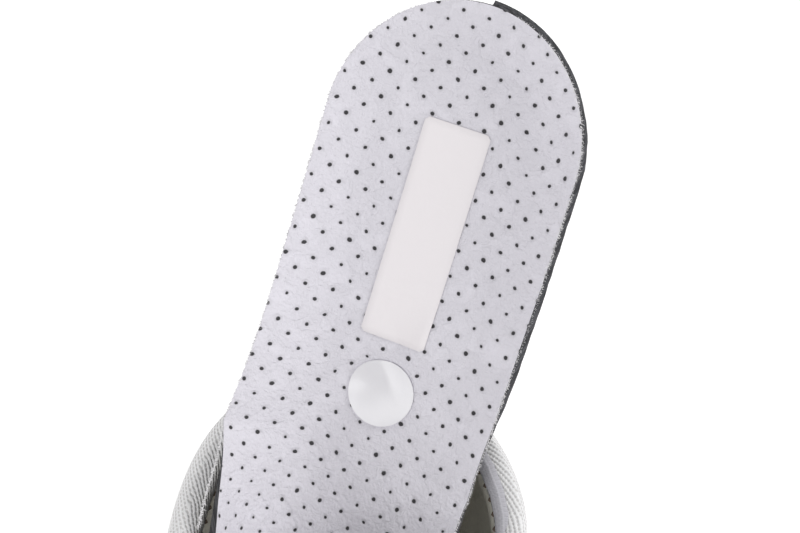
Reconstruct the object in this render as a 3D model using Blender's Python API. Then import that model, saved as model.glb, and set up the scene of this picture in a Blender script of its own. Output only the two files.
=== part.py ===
"""Low basketball shoe for the left foot, with its insole drawn half out over the heel collar.

Metres. +X runs to the toe, +Y to the outer side of the foot and +Z up. The origin is on the floor,
under the middle of the heel tread. A column is a line up the upper, from the sole to the topline.
"""

import math
from collections import namedtuple

import bmesh
import bpy
from mathutils import Matrix, Vector
from mathutils.bvhtree import BVHTree

# Sole
SOLE_LENGTH = 0.300
BALL_WIDTH = 0.108
HEEL_CENTRE = 0.045
HEEL_ROUND = 0.040
TOE_ROUND = 0.082
TOE_POWER = 2.25
OUTSOLE_THICK = 0.0045
HEEL_STACK = 0.028
FORE_STACK = 0.018
TOE_SPRING = 0.013
HEEL_BEVEL = 0.004
ARCH_RISE = 0.0035
WALL_RISE = 0.010
FEATHER_INSET = 0.0062
RIM_TRIM = 0.86
GROOVE_DEPTH = 0.0012
TREAD_DEPTH = 0.0022
TREAD_SLOT = 0.0026
TREAD_SWING = 0.0045
TREAD_PITCH = 0.018

# Upper
UPPER_WALL = 0.0022
COLLAR_BACK = 0.010
COLLAR_ROUND = 0.044
COLLAR_RISE = 0.059
INSTEP_RISE = 0.078
TOE_RISE = 0.029
SIDE_BULGE = 0.006
PAD_INSIDE = 0.0050
PAD_OUTSIDE = 0.0020
OVERLAY_THICK = 0.0014
GAP = 0.0003

# Tongue and laces
TONGUE_GAP = 0.0008
TONGUE_CROWN = 0.13
TONGUE_THICK = 0.0050
TONGUE_PAD = 0.0040
TONGUE_REACH = 0.034
TONGUE_TOP_HALF = 0.0305
TONGUE_TOP_BOW = 0.011
TONGUE_WAIST = 0.20
TONGUE_STEPS = 6
TONGUE_LEAN = 9.0
TONGUE_TIP = 0.85
LACE_WIDTH = 0.0075
LACE_THICK = 0.0016
LACE_CLEAR = 0.0012
LACE_PAIRS = 6
LACE_CROWN = 0.15
LACE_STEPS = 8
THROAT_PART = 0.72
EYELET_RADIUS = 0.0023
EYELET_INSET = 0.13

# Insole, and how far it stands out of the shoe
INSOLE_LENGTH = 0.262
INSOLE_BALL = 0.088
INSOLE_THICK = 0.0045
INSOLE_RIM = 0.0030
INSOLE_HEEL_ROUND = 0.036
INSOLE_TOE_ROUND = 0.060
CUP_HEIGHT = 0.0085
CUP_WIDTH = 0.013
ARCH_HEIGHT = 0.012
ARCH_WIDTH = 0.024
DRAWN_OUT = 0.092
CREST_CLEAR = 0.0088
INSOLE_CLEAR = 0.0010
INSOLE_EASE = 0.105  # how much less each section may be drawn in than the next
INSOLE_INSIDE = 0.47  # share of the length from which it lies inside the shoe
INSOLE_SHIFT = -0.0155
PATCH_LENGTH = 0.060
PATCH_WIDTH = 0.018
PATCH_START = 0.0325
PATCH_THICK = 0.0007

# How finely the forms are divided
STATIONS = 32
INSOLE_STATIONS = 20

UP = Vector((0.0, 0.0, 1.0))

# Half widths of the sole, as shares of the ball width, against the share of the sole's length.
Plan = namedtuple("Plan", "share inner outer")
SOLE_PLAN = (
    Plan(0.00, 0.310, 0.310),
    Plan(0.10, 0.384, 0.384),
    Plan(0.20, 0.378, 0.390),
    Plan(0.32, 0.338, 0.388),
    Plan(0.42, 0.310, 0.405),
    Plan(0.52, 0.330, 0.445),
    Plan(0.62, 0.405, 0.482),
    Plan(0.70, 0.470, 0.496),
    Plan(0.78, 0.502, 0.478),
    Plan(0.86, 0.500, 0.430),
    Plan(0.94, 0.460, 0.360),
    Plan(1.00, 0.420, 0.300),
)

# The topline: the column whose foot is at share base ends at share run of the sole's length, half widths
# inner and outer shares of the ball width out, and at that much of the collar, instep and toe rises.
Top = namedtuple("Top", "base run inner outer collar instep toe")
TOPLINE = (
    Top(0.00, 0.000, 0.410, 0.410, 1.00, 0.00, 0.00),
    Top(0.10, 0.078, 0.424, 0.424, 0.92, 0.00, 0.00),
    Top(0.18, 0.150, 0.430, 0.420, 0.76, 0.00, 0.00),
    Top(0.26, 0.225, 0.402, 0.378, 0.68, 0.06, 0.00),
    Top(0.33, 0.290, 0.346, 0.324, 0.38, 0.46, 0.00),
    Top(0.40, 0.345, 0.278, 0.274, 0.00, 1.00, 0.00),
    Top(0.46, 0.402, 0.232, 0.246, 0.00, 0.96, 0.00),
    Top(0.52, 0.467, 0.198, 0.212, 0.00, 0.88, 0.00),
    Top(0.59, 0.540, 0.156, 0.170, 0.00, 0.76, 0.00),
    Top(0.645, 0.592, 0.105, 0.118, 0.00, 0.67, 0.02),
    Top(0.69, 0.612, 0.000, 0.000, 0.00, 0.61, 0.07),
    Top(0.78, 0.692, 0.000, 0.000, 0.00, 0.35, 0.48),
    Top(0.90, 0.778, 0.000, 0.000, 0.00, 0.10, 0.90),
    Top(1.00, 0.835, 0.000, 0.000, 0.00, 0.00, 1.00),
)
THROAT_END = 0.66
THROAT_START = 0.385
PADDED_TO = 0.335

# The bow of a column: how far it bulges and rises from its foot, and reaches and drops at its top.
Bow = namedtuple("Bow", "base bulge rise reach drop")
COLUMN_BOW = (
    Bow(0.00, 1.00, 0.36, 0.00, 0.34),
    Bow(0.12, 1.00, 0.36, 0.00, 0.34),
    Bow(0.22, 1.55, 0.40, 0.10, 0.34),
    Bow(0.32, 1.60, 0.46, 0.50, 0.22),
    Bow(0.42, 1.20, 0.52, 0.62, 0.14),
    Bow(0.55, 0.60, 0.56, 0.58, 0.10),
    Bow(0.70, 0.60, 0.64, 0.56, 0.03),
    Bow(0.85, 0.65, 0.70, 0.58, 0.00),
    Bow(1.00, 0.75, 0.74, 0.62, 0.00),
)

# Rows up a column above the sole's wall, as shares of the way from the wall to the topline.
RIM_ROW = 2
ROWS_ABOVE = (0.16, 0.32, 0.46, 0.60, 0.74, 0.84, 0.92, 0.97, 1.00)
LAST_ROW = RIM_ROW + len(ROWS_ABOVE)
EYESTAY_ROW = RIM_ROW + 5
EYESTAY_TIP = 0.745
COUNTER_ROW = RIM_ROW + 3
COUNTER_BASE = 0.24
TOE_CAP_BASE = 0.80
CREST_START = 0.86
CREST_LEAST = 0.14

# The insole: half widths as shares of its ball width, slope and roll in degrees, how much of its
# width a section keeps where the shoe curls it up, how much cup and arch stand up at its edge, and yaw.
Bed = namedtuple("Bed", "share inner outer slope roll keep cup arch spread yaw")
INSOLE_BED = (
    Bed(0.00, 0.392, 0.392, 33.0, 14.0, 1.000, 1.00, 0.00, 0.55, 13.0),
    Bed(0.12, 0.392, 0.392, 35.0, 14.0, 1.000, 1.00, 0.10, 0.55, 13.0),
    Bed(0.25, 0.386, 0.388, 36.5, 14.0, 1.000, 0.75, 0.45, 0.65, 13.0),
    Bed(0.38, 0.382, 0.376, 37.0, 14.0, 1.000, 0.45, 0.95, 0.85, 13.0),
    Bed(0.48, 0.405, 0.368, 37.0, 12.0, 1.000, 0.30, 1.00, 1.00, 12.0),
    Bed(0.56, 0.435, 0.395, 36.5, 9.0, 0.940, 0.20, 0.60, 0.90, 7.0),
    Bed(0.62, 0.462, 0.435, 34.0, 6.0, 0.800, 0.15, 0.30, 0.80, 2.0),
    Bed(0.70, 0.490, 0.495, 28.0, 2.0, 0.640, 0.05, 0.00, 0.60, -2.0),
    Bed(0.80, 0.494, 0.462, 22.0, 0.0, 0.660, 0.00, 0.00, 0.60, -3.0),
    Bed(0.90, 0.440, 0.370, 17.0, 0.0, 0.820, 0.00, 0.00, 0.60, -2.0),
    Bed(1.00, 0.360, 0.260, 14.0, 0.0, 0.940, 0.00, 0.00, 0.60, 0.0),
)
INSOLE_ACROSS = (-1.0, -0.88, -0.72, -0.5, -0.25, 0.0, 0.25, 0.5, 0.72, 0.88, 1.0)


def curve(table, at, column):
    """A column of a table of rows, on a smooth curve through the rows, against the first column."""
    keys = [row[0] for row in table]
    values = [getattr(row, column) for row in table]
    at = min(max(at, keys[0]), keys[-1])
    last = len(keys) - 1
    k = next(i for i in range(last) if at <= keys[i + 1])

    def tangent(i):
        low, high = max(i - 1, 0), min(i + 1, last)
        return (values[high] - values[low]) / (keys[high] - keys[low])

    span = keys[k + 1] - keys[k]
    u = (at - keys[k]) / span
    start = (2 * u**3 - 3 * u**2 + 1) * values[k] + (u**3 - 2 * u**2 + u) * span * tangent(k)
    end = (3 * u**2 - 2 * u**3) * values[k + 1] + (u**3 - u**2) * span * tangent(k + 1)
    return start + end


def ease(value, low, high):
    """0 below low, 1 above high, and smooth between them."""
    u = min(max((value - low) / (high - low), 0.0), 1.0)
    return u * u * (3 - 2 * u)


def rounded(distance, radius, power=2.0):
    """Share of the full width at a distance from a rounded end."""
    if distance >= radius:
        return 1.0
    return max(1 - (1 - max(distance, 0.0) / radius) ** power, 0.0) ** (1 / power)


def share_of(turn):
    """Share of a length at a turn from 0 to 1, with steps that shorten towards both ends."""
    return (1 - math.cos(math.pi * turn)) / 2


def toe_rise(share):
    """How far the toe spring lifts the sole at a share of its length."""
    return TOE_SPRING * max(0.0, (share - 0.72) / 0.28) ** 2


def ground(x):
    """Height of the tread: flat at heel and ball, raised at the arch, the heel's back and the toe."""
    share = (x + HEEL_CENTRE) / SOLE_LENGTH
    bevel = HEEL_BEVEL * max(0.0, 1 - share / 0.07) ** 2
    arch = ease(share, 0.30, 0.38) - ease(share, 0.48, 0.56)
    return toe_rise(share) + bevel + ARCH_RISE * arch


def footbed(x):
    """Height of the floor inside the shoe."""
    share = (x + HEEL_CENTRE) / SOLE_LENGTH
    return HEEL_STACK + (FORE_STACK - HEEL_STACK) * ease(share, 0.20, 0.62) + toe_rise(share)


def outline(turn, side, grow=0.0):
    """Plan point of the sole's outline, from heel to toe, on the outer (1) or inner (-1) side."""
    length = SOLE_LENGTH + 2 * grow
    along = length * share_of(turn)
    share = (along - grow) / SOLE_LENGTH
    inner = BALL_WIDTH * curve(SOLE_PLAN, share, "inner")
    outer = BALL_WIDTH * curve(SOLE_PLAN, share, "outer")
    half = (inner + outer) / 2 + grow
    half *= rounded(along, HEEL_ROUND + grow) * rounded(length - along, TOE_ROUND + grow, TOE_POWER)
    return Vector((along - grow - HEEL_CENTRE, (outer - inner) / 2 + side * half, 0.0))


def outward(turn, side):
    """Level direction out of the outline at the foot of a column."""
    step = 0.004
    if turn < step:
        return Vector((-1.0, 0.0, 0.0))
    if turn > 1 - step:
        return Vector((1.0, 0.0, 0.0))
    before = outline(turn - step, side, -FEATHER_INSET)
    after = outline(turn + step, side, -FEATHER_INSET)
    run = after - before
    return Vector((-run.y, run.x, 0.0)).normalized() * side


def topline(turn, side):
    """Point where a column ends, on the collar, the edge of the throat or the ridge of the vamp."""
    base = share_of(turn)
    x = COLLAR_BACK + SOLE_LENGTH * curve(TOPLINE, base, "run") - HEEL_CENTRE
    half = 0.0
    if base < THROAT_END:
        half = BALL_WIDTH * max(curve(TOPLINE, base, "outer" if side > 0 else "inner"), 0.0)
    half *= rounded(x + HEEL_CENTRE - COLLAR_BACK, COLLAR_ROUND)
    rise = COLLAR_RISE * curve(TOPLINE, base, "collar") + INSTEP_RISE * curve(TOPLINE, base, "instep")
    rise += TOE_RISE * curve(TOPLINE, base, "toe")
    middle = BALL_WIDTH * (curve(SOLE_PLAN, base, "outer") - curve(SOLE_PLAN, base, "inner")) / 2
    return Vector((x, 0.7 * middle + side * half, footbed(x) + rise))


class Column:
    """One line up the upper, a cubic from its foot on the sole to the topline."""

    def __init__(self, turn, side):
        base = share_of(turn)
        out = outward(turn, side)
        foot = outline(turn, side, -FEATHER_INSET)
        foot.z = footbed(foot.x) + GAP
        top = topline(turn, side)
        height = top.z - foot.z
        reach = curve(COLUMN_BOW, base, "reach") * (foot - top).dot(out)
        self.knots = (
            foot,
            foot + out * SIDE_BULGE * curve(COLUMN_BOW, base, "bulge")
            + UP * height * curve(COLUMN_BOW, base, "rise"),
            top + out * reach - UP * height * curve(COLUMN_BOW, base, "drop"),
            top,
        )

    def at(self, v):
        """Point at a share v of the way up."""
        a, b, c, d = self.knots
        u = 1 - v
        return a * u**3 + b * 3 * u * u * v + c * 3 * u * v * v + d * v**3

    def share_at_rise(self, rise):
        """Share of the way up where the column has risen this far."""
        low, high = 0.0, 1.0
        for _ in range(40):
            middle = (low + high) / 2
            if self.at(middle).z - self.knots[0].z < rise:
                low = middle
            else:
                high = middle
        return low


class Upper:
    """The upper's surface as a closed ring of columns, from the heel along the outer side and back."""

    def __init__(self):
        self.count = 2 * STATIONS
        self.points, self.normals, self.shares = [], [], []
        for index in range(self.count):
            self.add_column(index)

    def place(self, index):
        """Turn and side of a column, counted round the ring."""
        index %= self.count
        if index <= STATIONS:
            return index / STATIONS, 1
        return (self.count - index) / STATIONS, -1

    def is_toe(self, index):
        """Whether a column ends on the ridge of the vamp, where both sides meet."""
        return share_of(self.place(index)[0]) >= THROAT_END

    def add_column(self, index):
        turn, side = self.place(index)
        column = Column(turn, side)
        rim = column.share_at_rise(WALL_RISE)
        shares = [rim * row / RIM_ROW for row in range(RIM_ROW + 1)]
        shares += [rim + (1 - rim) * above for above in ROWS_ABOVE]
        self.shares.append(shares)
        self.points.append([column.at(v) for v in shares])
        self.normals.append([self.normal(turn, side, v) for v in shares])

    def normal(self, turn, side, v):
        """Direction out of the surface."""
        step = 0.003
        if v > 1 - step and share_of(turn) >= THROAT_END:
            along = topline(min(turn + step, 1.0), side) - topline(turn - step, side)
            along.y = 0.0
            return Vector((-along.z, 0.0, along.x)).normalized()
        back = Column(abs(turn - step), side if turn >= step else -side)
        fore = Column(min(turn + step, 2 - turn - step), side if turn <= 1 - step else -side)
        here = Column(turn, side)
        along = fore.at(v) - back.at(v)
        up = here.at(min(v + step, 1.0)) - here.at(max(v - step, 0.0))
        return (along.cross(up) * -side).normalized()

    def padding(self, index, row):
        """Share of the full collar padding at a grid point."""
        base = share_of(self.place(index)[0])
        share = ROWS_ABOVE[row - RIM_ROW - 1] if row > RIM_ROW else 0.0
        return ease(share, 0.40, 0.78) * (1 - ease(base, PADDED_TO - 0.06, PADDED_TO + 0.045))

    def crest(self, index, row):
        """Share of the thickness left where the padded collar rounds over."""
        share = ROWS_ABOVE[row - RIM_ROW - 1] if row > RIM_ROW else 0.0
        if share <= CREST_START:
            return 1.0
        base = share_of(self.place(index)[0])
        round_over = math.sqrt(max(1 - ((share - CREST_START) / (1 - CREST_START)) ** 2, 0.0))
        open_edge = 1 - ease(base, PADDED_TO - 0.03, PADDED_TO + 0.05)
        return 1 - open_edge * (1 - max(round_over, CREST_LEAST))

    def face(self, index, row, outside, extra=0.0):
        """Grid point on the outer or inner face, moved away from the wall by extra."""
        index %= self.count
        pad, crest = self.padding(index, row), self.crest(index, row)
        if outside:
            depth = (UPPER_WALL / 2 + PAD_OUTSIDE * pad) * crest - UPPER_WALL / 2 + extra
        else:
            depth = -(UPPER_WALL / 2 + PAD_INSIDE * pad) * crest - UPPER_WALL / 2 - extra
        return self.points[index][row] + self.normals[index][row] * depth


class Solid:
    """A closed solid grown from points, with one vertex wherever points meet."""

    def __init__(self):
        self.mesh_data = bmesh.new()
        self.verts = {}

    def vert(self, point):
        """The vertex at a point."""
        key = tuple(round(c, 7) for c in point)
        if key not in self.verts:
            self.verts[key] = self.mesh_data.verts.new(point)
        return self.verts[key]

    def face(self, points):
        """A face through the points that differ."""
        corners = list(dict.fromkeys(self.vert(point) for point in points))
        return [self.mesh_data.faces.new(corners)] if len(corners) > 2 else []

    def sheet(self, lines):
        """Faces over a grid of points."""
        faces = []
        for low, high in zip(lines, lines[1:]):
            for i in range(len(low) - 1):
                faces += self.face([low[i], low[i + 1], high[i + 1], high[i]])
        return faces

    def slab(self, *patches):
        """A slab between equal top and bottom grids, walled in wherever its patches have no neighbour."""
        below, faces = {}, []
        for top, bottom in patches:
            faces += self.sheet(top)
            self.sheet(bottom)
            for high, low in zip(top, bottom):
                below.update((self.vert(a), b) for a, b in zip(high, low))
        for edge in {edge for face in faces for edge in face.edges if edge.is_boundary}:
            a, b = edge.verts
            self.face([a.co, b.co, below[b], below[a]])

    def stack(self, rings):
        """A solid through rings of points, closed from side to side at both ends."""
        for low, high in zip(rings, rings[1:]):
            self.sheet([low + low[:1], high + high[:1]])
        for ring in (rings[0], rings[-1]):
            beyond = ring[:1] + ring[:0:-1]
            half = len(ring) // 2 + 1
            self.sheet([ring[:half], beyond[:half]])

    def build(self, name, colour, roughness, collection):
        """The solid as an object with its own material."""
        bmesh.ops.recalc_face_normals(self.mesh_data, faces=self.mesh_data.faces)
        mesh = bpy.data.meshes.new(name)
        self.mesh_data.to_mesh(mesh)
        self.mesh_data.free()
        mesh.shade_smooth()
        mesh.set_sharp_from_angle(angle=math.radians(40))
        obj = bpy.data.objects.new(name, mesh)
        collection.objects.link(obj)
        material = bpy.data.materials.new(name)
        material.use_nodes = True
        shader = material.node_tree.nodes["Principled BSDF"]
        shader.inputs["Base Color"].default_value = (*colour, 1.0)
        shader.inputs["Roughness"].default_value = roughness
        shader.inputs["Metallic"].default_value = 0.0
        mesh.materials.append(material)
        return obj


def sole_ring(grow, height):
    """Ring of points round the sole's outline, at a height that depends on x."""
    ring = []
    for index in range(2 * STATIONS):
        turn, side = (index / STATIONS, 1) if index <= STATIONS else (2 - index / STATIONS, -1)
        point = outline(turn, side, grow)
        point.z = height(point.x)
        ring.append(point)
    return ring


def add_slot(solid, x):
    """A prism that zigzags across the tread, from below the floor."""
    steps = math.ceil(BALL_WIDTH / 2 / TREAD_PITCH) + 1
    spine = [(x + TREAD_SWING * (1 if k % 2 else -1), k * TREAD_PITCH) for k in range(-steps, steps + 1)]
    top, bottom = (
        [[Vector((px + edge, py, z)) for px, py in spine] for edge in (-TREAD_SLOT / 2, TREAD_SLOT / 2)]
        for z in (ground(x) + TREAD_DEPTH, -TREAD_DEPTH)
    )
    solid.slab((top, bottom))


def cut(obj, cutter, operation="DIFFERENCE"):
    """Adds an exact Boolean with a cutter that isn't rendered."""
    cutter.hide_render = True
    cutter.display_type = "WIRE"
    modifier = obj.modifiers.new(cutter.name, "BOOLEAN")
    modifier.operation = operation
    modifier.object = cutter
    modifier.solver = "EXACT"


def make_outsole(parts, cutters):
    """Rubber tread: flat at heel and ball, raised at the arch, with zigzag slots across."""
    top = lambda x: ground(x) + OUTSOLE_THICK
    rings = [
        sole_ring(-0.0030, ground),
        sole_ring(-0.0008, lambda x: ground(x) + 0.0012),
        sole_ring(0.0, lambda x: ground(x) + 0.0028),
        sole_ring(0.0, top),
    ]
    tread = Solid()
    tread.stack(rings)
    outsole = tread.build("outsole", (0.80, 0.80, 0.79), 0.55, parts)
    slots = Solid()
    heel_slots = [0.5 * TREAD_PITCH * k for k in (-3.2, -1.6, 1.6, 3.2)]
    fore_slots = [0.56 * SOLE_LENGTH - HEEL_CENTRE + 0.78 * TREAD_PITCH * k for k in range(8)]
    for x in heel_slots + fore_slots:
        add_slot(slots, x)
    cut(outsole, slots.build("tread_slots", (0.5, 0.5, 0.5), 0.5, cutters))


def make_midsole(upper, parts):
    """Foam cup: it stands on the outsole, and its wall follows the foot of the upper."""
    base = lambda x: ground(x) + OUTSOLE_THICK + GAP
    wall = lambda share: (lambda x: base(x) + (footbed(x) + 0.75 * WALL_RISE - base(x)) * share)
    rings = [
        sole_ring(-0.0012, base),
        sole_ring(-0.0002, lambda x: base(x) + 0.0012),
        sole_ring(0.0, wall(0.30)),
        sole_ring(-GROOVE_DEPTH, wall(0.36)),
        sole_ring(-GROOVE_DEPTH, wall(0.44)),
        sole_ring(-0.0004, wall(0.50)),
        sole_ring(-0.0010, wall(0.92)),
    ]
    inside = [[upper.face(i, row, True, GAP) for i in range(upper.count)] for row in range(RIM_ROW + 1)]
    rim = [low.lerp(high, RIM_TRIM) for low, high in zip(inside[-2], inside[-1])]
    for edge, share in ((sole_ring(-0.0022, wall(1.0)), 1.0), (rings[-1], 0.4)):
        rings.append([Vector((*r.lerp(e, share).xy, r.z - 0.0008 * share)) for r, e in zip(rim, edge)])
    rings += [rim] + inside[-2::-1]
    for point in rings[-1]:
        point.z = footbed(point.x)
    cup = Solid()
    cup.stack(rings)
    cup.build("midsole", (0.86, 0.86, 0.85), 0.5, parts)


def make_upper(upper, parts, holes):
    """The upper: one wall, padded and rounded over at the collar, open at collar, throat and sole."""
    grids = [
        [[upper.face(i, row, outside) for row in range(LAST_ROW + 1)] for i in range(upper.count + 1)]
        for outside in (True, False)
    ]
    shell = Solid()
    shell.slab(grids)
    cut(shell.build("upper", (0.84, 0.84, 0.82), 0.85, parts), holes)


def overlay(upper, columns, rows):
    """Top and bottom of a sheet laid on the upper over a block of its grid."""
    return [[[upper.face(c, r, True, GAP + lift) for r in rows] for c in columns] for lift in (OVERLAY_THICK, 0.0)]


def columns_between(low, high):
    """Columns on the outer side whose feet lie between two shares of the sole's length."""
    return [i for i in range(STATIONS + 1) if low <= share_of(i / STATIONS) <= high]


def make_overlays(upper, parts, holes):
    """Smooth panels on the mesh: an eyestay round the throat, a toe cap and a heel counter."""
    throat = columns_between(THROAT_START, EYESTAY_TIP)
    heel = columns_between(0.0, COUNTER_BASE)
    toe = columns_between(TOE_CAP_BASE, 1.0)
    rows = range(EYESTAY_ROW, LAST_ROW + 1)
    eyestay, counter, cap = Solid(), Solid(), Solid()
    eyestay.slab(overlay(upper, throat, rows), overlay(upper, [-i for i in throat[::-1]], rows))
    counter.slab(overlay(upper, [-i for i in heel[:0:-1]] + heel, range(RIM_ROW, COUNTER_ROW + 1)))
    cap.slab(overlay(upper, toe + [-i for i in toe[-2::-1]], range(RIM_ROW, LAST_ROW + 1)))
    cut(eyestay.build("eyestay", (0.88, 0.88, 0.86), 0.5, parts), holes)
    counter.build("heel_counter", (0.88, 0.88, 0.86), 0.5, parts)
    cap.build("toe_cap", (0.88, 0.88, 0.86), 0.5, parts)


def eyelet_base(pair):
    """Share of the sole's length at the foot of a lace hole's column, from the top pair down."""
    first, last = THROAT_START + 0.025, THROAT_END - 0.05
    return first + (last - first) * pair / (LACE_PAIRS - 1)


def eyelet(upper, pair, side):
    """Middle and direction of a lace hole."""
    turn = math.acos(1 - 2 * eyelet_base(pair)) / math.pi
    column = Column(turn, side)
    v = 1 - (1 - column.share_at_rise(WALL_RISE)) * EYELET_INSET
    return column.at(v), upper.normal(turn, side, v)


def make_holes(upper, cutters):
    """The cutters for the lace holes, joined in one object."""
    solid = Solid()
    for pair in range(LACE_PAIRS):
        for side in (1, -1):
            middle, out = eyelet(upper, pair, side)
            matrix = Matrix.Translation(middle) @ out.to_track_quat("Z", "Y").to_matrix().to_4x4()
            bmesh.ops.create_cone(
                solid.mesh_data, cap_ends=True, segments=8, radius1=EYELET_RADIUS, radius2=EYELET_RADIUS,
                depth=6 * UPPER_WALL, matrix=matrix,
            )
    return solid.build("lace_holes", (0.5, 0.5, 0.5), 0.5, cutters)


def throat_section(upper, index):
    """Points across the tongue under one pair of throat columns, from the outer side to the inner."""
    rows = range(EYESTAY_ROW, LAST_ROW + 1)
    outer = [upper.face(index, row, False, TONGUE_GAP) for row in rows]
    inner = [upper.face(-index, row, False, TONGUE_GAP) for row in rows]
    span = (outer[-1] - inner[-1]).length
    middle = []
    for share in (0.2, 0.5, 0.8):
        rise = TONGUE_CROWN * span * 4 * share * (1 - share)
        middle.append(outer[-1].lerp(inner[-1], share) + UP * rise)
    return outer + middle + inner[::-1]


def free_sections(sections):
    """Points across the free end of the tongue, which leans back and widens into a plain bow."""
    last = sections[-1]
    count = len(last)
    centre = last[count // 2]
    heading = centre - sections[-2][count // 2]
    pitch = math.atan2(heading.z, -heading.x)
    made, travelled = [], Vector((0.0, 0.0, 0.0))
    for step in range(TONGUE_STEPS):
        share = (step + 1) / TONGUE_STEPS
        pitch += math.radians(TONGUE_LEAN)
        travelled += Vector((-math.cos(pitch), 0.0, math.sin(pitch))) * TONGUE_REACH / TONGUE_STEPS
        up = Vector((math.sin(pitch), 0.0, math.cos(pitch)))
        narrow = rounded((1 - share) * TONGUE_REACH + 0.004, 0.018)
        line = []
        for i, point in enumerate(last):
            across = 1 - 2 * i / (count - 1)
            half = TONGUE_TOP_HALF * (1 - TONGUE_WAIST * (1 - share))
            bow = centre + Vector((0.0, half * across * narrow, 0.0))
            bow -= up * TONGUE_TOP_BOW * (across * narrow) ** 2
            line.append(point.lerp(bow, ease(share, -0.40, 0.75)) + travelled)
        made.append(line)
    return made


def make_tongue(upper, parts):
    """Padded tongue: it follows the underside of the eyestay and stands free above the throat."""
    throat = columns_between(THROAT_START, THROAT_END)[::-1]
    sections = [throat_section(upper, i) for i in throat]
    ridge = throat_section(upper, throat[0] + 1)
    sections.insert(0, [a.lerp(b, TONGUE_TIP) for a, b in zip(sections[0], ridge)])
    sections += free_sections(sections)
    count, last = len(sections[0]), len(sections) - 1
    under = []
    for k, section in enumerate(sections):
        free = ease(k, len(throat) - 2, len(throat) + 2)
        back, fore = sections[max(k - 1, 0)], sections[min(k + 1, last)]
        line = []
        for i, point in enumerate(section):
            along = fore[i] - back[i]
            across = section[max(i - 1, 0)] - section[min(i + 1, count - 1)]
            inward = along.cross(across).normalized()
            bulk = rounded(min(i, count - 1 - i) / (count - 1) + 0.03, 0.30)
            end = 0.5 if k == last else 1.0
            line.append(point + inward * (TONGUE_THICK + TONGUE_PAD * free) * bulk * end)
        under.append(line)
    tongue = Solid()
    tongue.slab((sections, under))
    tongue.build("tongue", (0.84, 0.84, 0.82), 0.85, parts)


def over_throat(upper, base, across):
    """Point clear of the eyestays and the tongue, from -1 at the inner eyelets to 1 at the outer."""
    turn = math.acos(1 - 2 * base) / math.pi
    clear = GAP + OVERLAY_THICK + LACE_CLEAR
    if abs(across) > THROAT_PART:
        side = 1 if across > 0 else -1
        column = Column(turn, side)
        rim = column.share_at_rise(WALL_RISE)
        v = 1 - (1 - rim) * EYELET_INSET * (abs(across) - THROAT_PART) / (1 - THROAT_PART)
        return column.at(v) + upper.normal(turn, side, v) * clear
    inner, outer = (topline(turn, side) + upper.normal(turn, side, 1.0) * clear for side in (-1, 1))
    share = (across / THROAT_PART + 1) / 2
    return inner.lerp(outer, share) + UP * LACE_CROWN * (outer - inner).length * 4 * share * (1 - share)


def lace_strap(upper, start, end, side, raised):
    """A flat strap from the eyelet of pair start on one side to that of pair end on the other."""
    low, high = eyelet_base(start), eyelet_base(end)
    step = 0.02
    top, bottom = [], []
    for k in range(LACE_STEPS + 1):
        share = k / LACE_STEPS
        base, across = low + (high - low) * share, side * (1 - 2 * share)
        point = over_throat(upper, base, across)
        left, right = min(across + step, 1.0), max(across - step, -1.0)
        sideways = (over_throat(upper, base, left) - over_throat(upper, base, right)) / (left - right)
        endways = (over_throat(upper, base + step, across) - over_throat(upper, base - step, across)) / (2 * step)
        out = endways.cross(sideways).normalized()
        run = endways * (high - low) - sideways * 2 * side
        edge = run.cross(out).normalized() * (LACE_WIDTH / 2)
        point += out * raised
        top.append([point + edge + out * LACE_THICK, point - edge + out * LACE_THICK])
        bottom.append([point + edge, point - edge])
    return top, bottom


def make_laces(upper, parts, cutters):
    """Flat lace: one bar at the toe end, then crossings up to the top eyelets, joined in one solid."""
    pairs = range(LACE_PAIRS - 1, 0, -1)
    families = (
        [lace_strap(upper, pair, pair - 1, 1, 0.0) for pair in pairs],
        [lace_strap(upper, pair, pair - 1, -1, LACE_THICK / 3) for pair in pairs],
        [lace_strap(upper, LACE_PAIRS - 1, LACE_PAIRS - 1, 1, LACE_THICK / 6)],
    )
    made = []
    for name, straps in zip(("laces", "lace_crossings", "lace_bar"), families):
        solid = Solid()
        for strap in straps:
            solid.slab(strap)
        made.append(solid.build(name, (0.88, 0.88, 0.87), 0.8, cutters if made else parts))
    for strap in made[1:]:
        cut(made[0], strap, "UNION")


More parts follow.
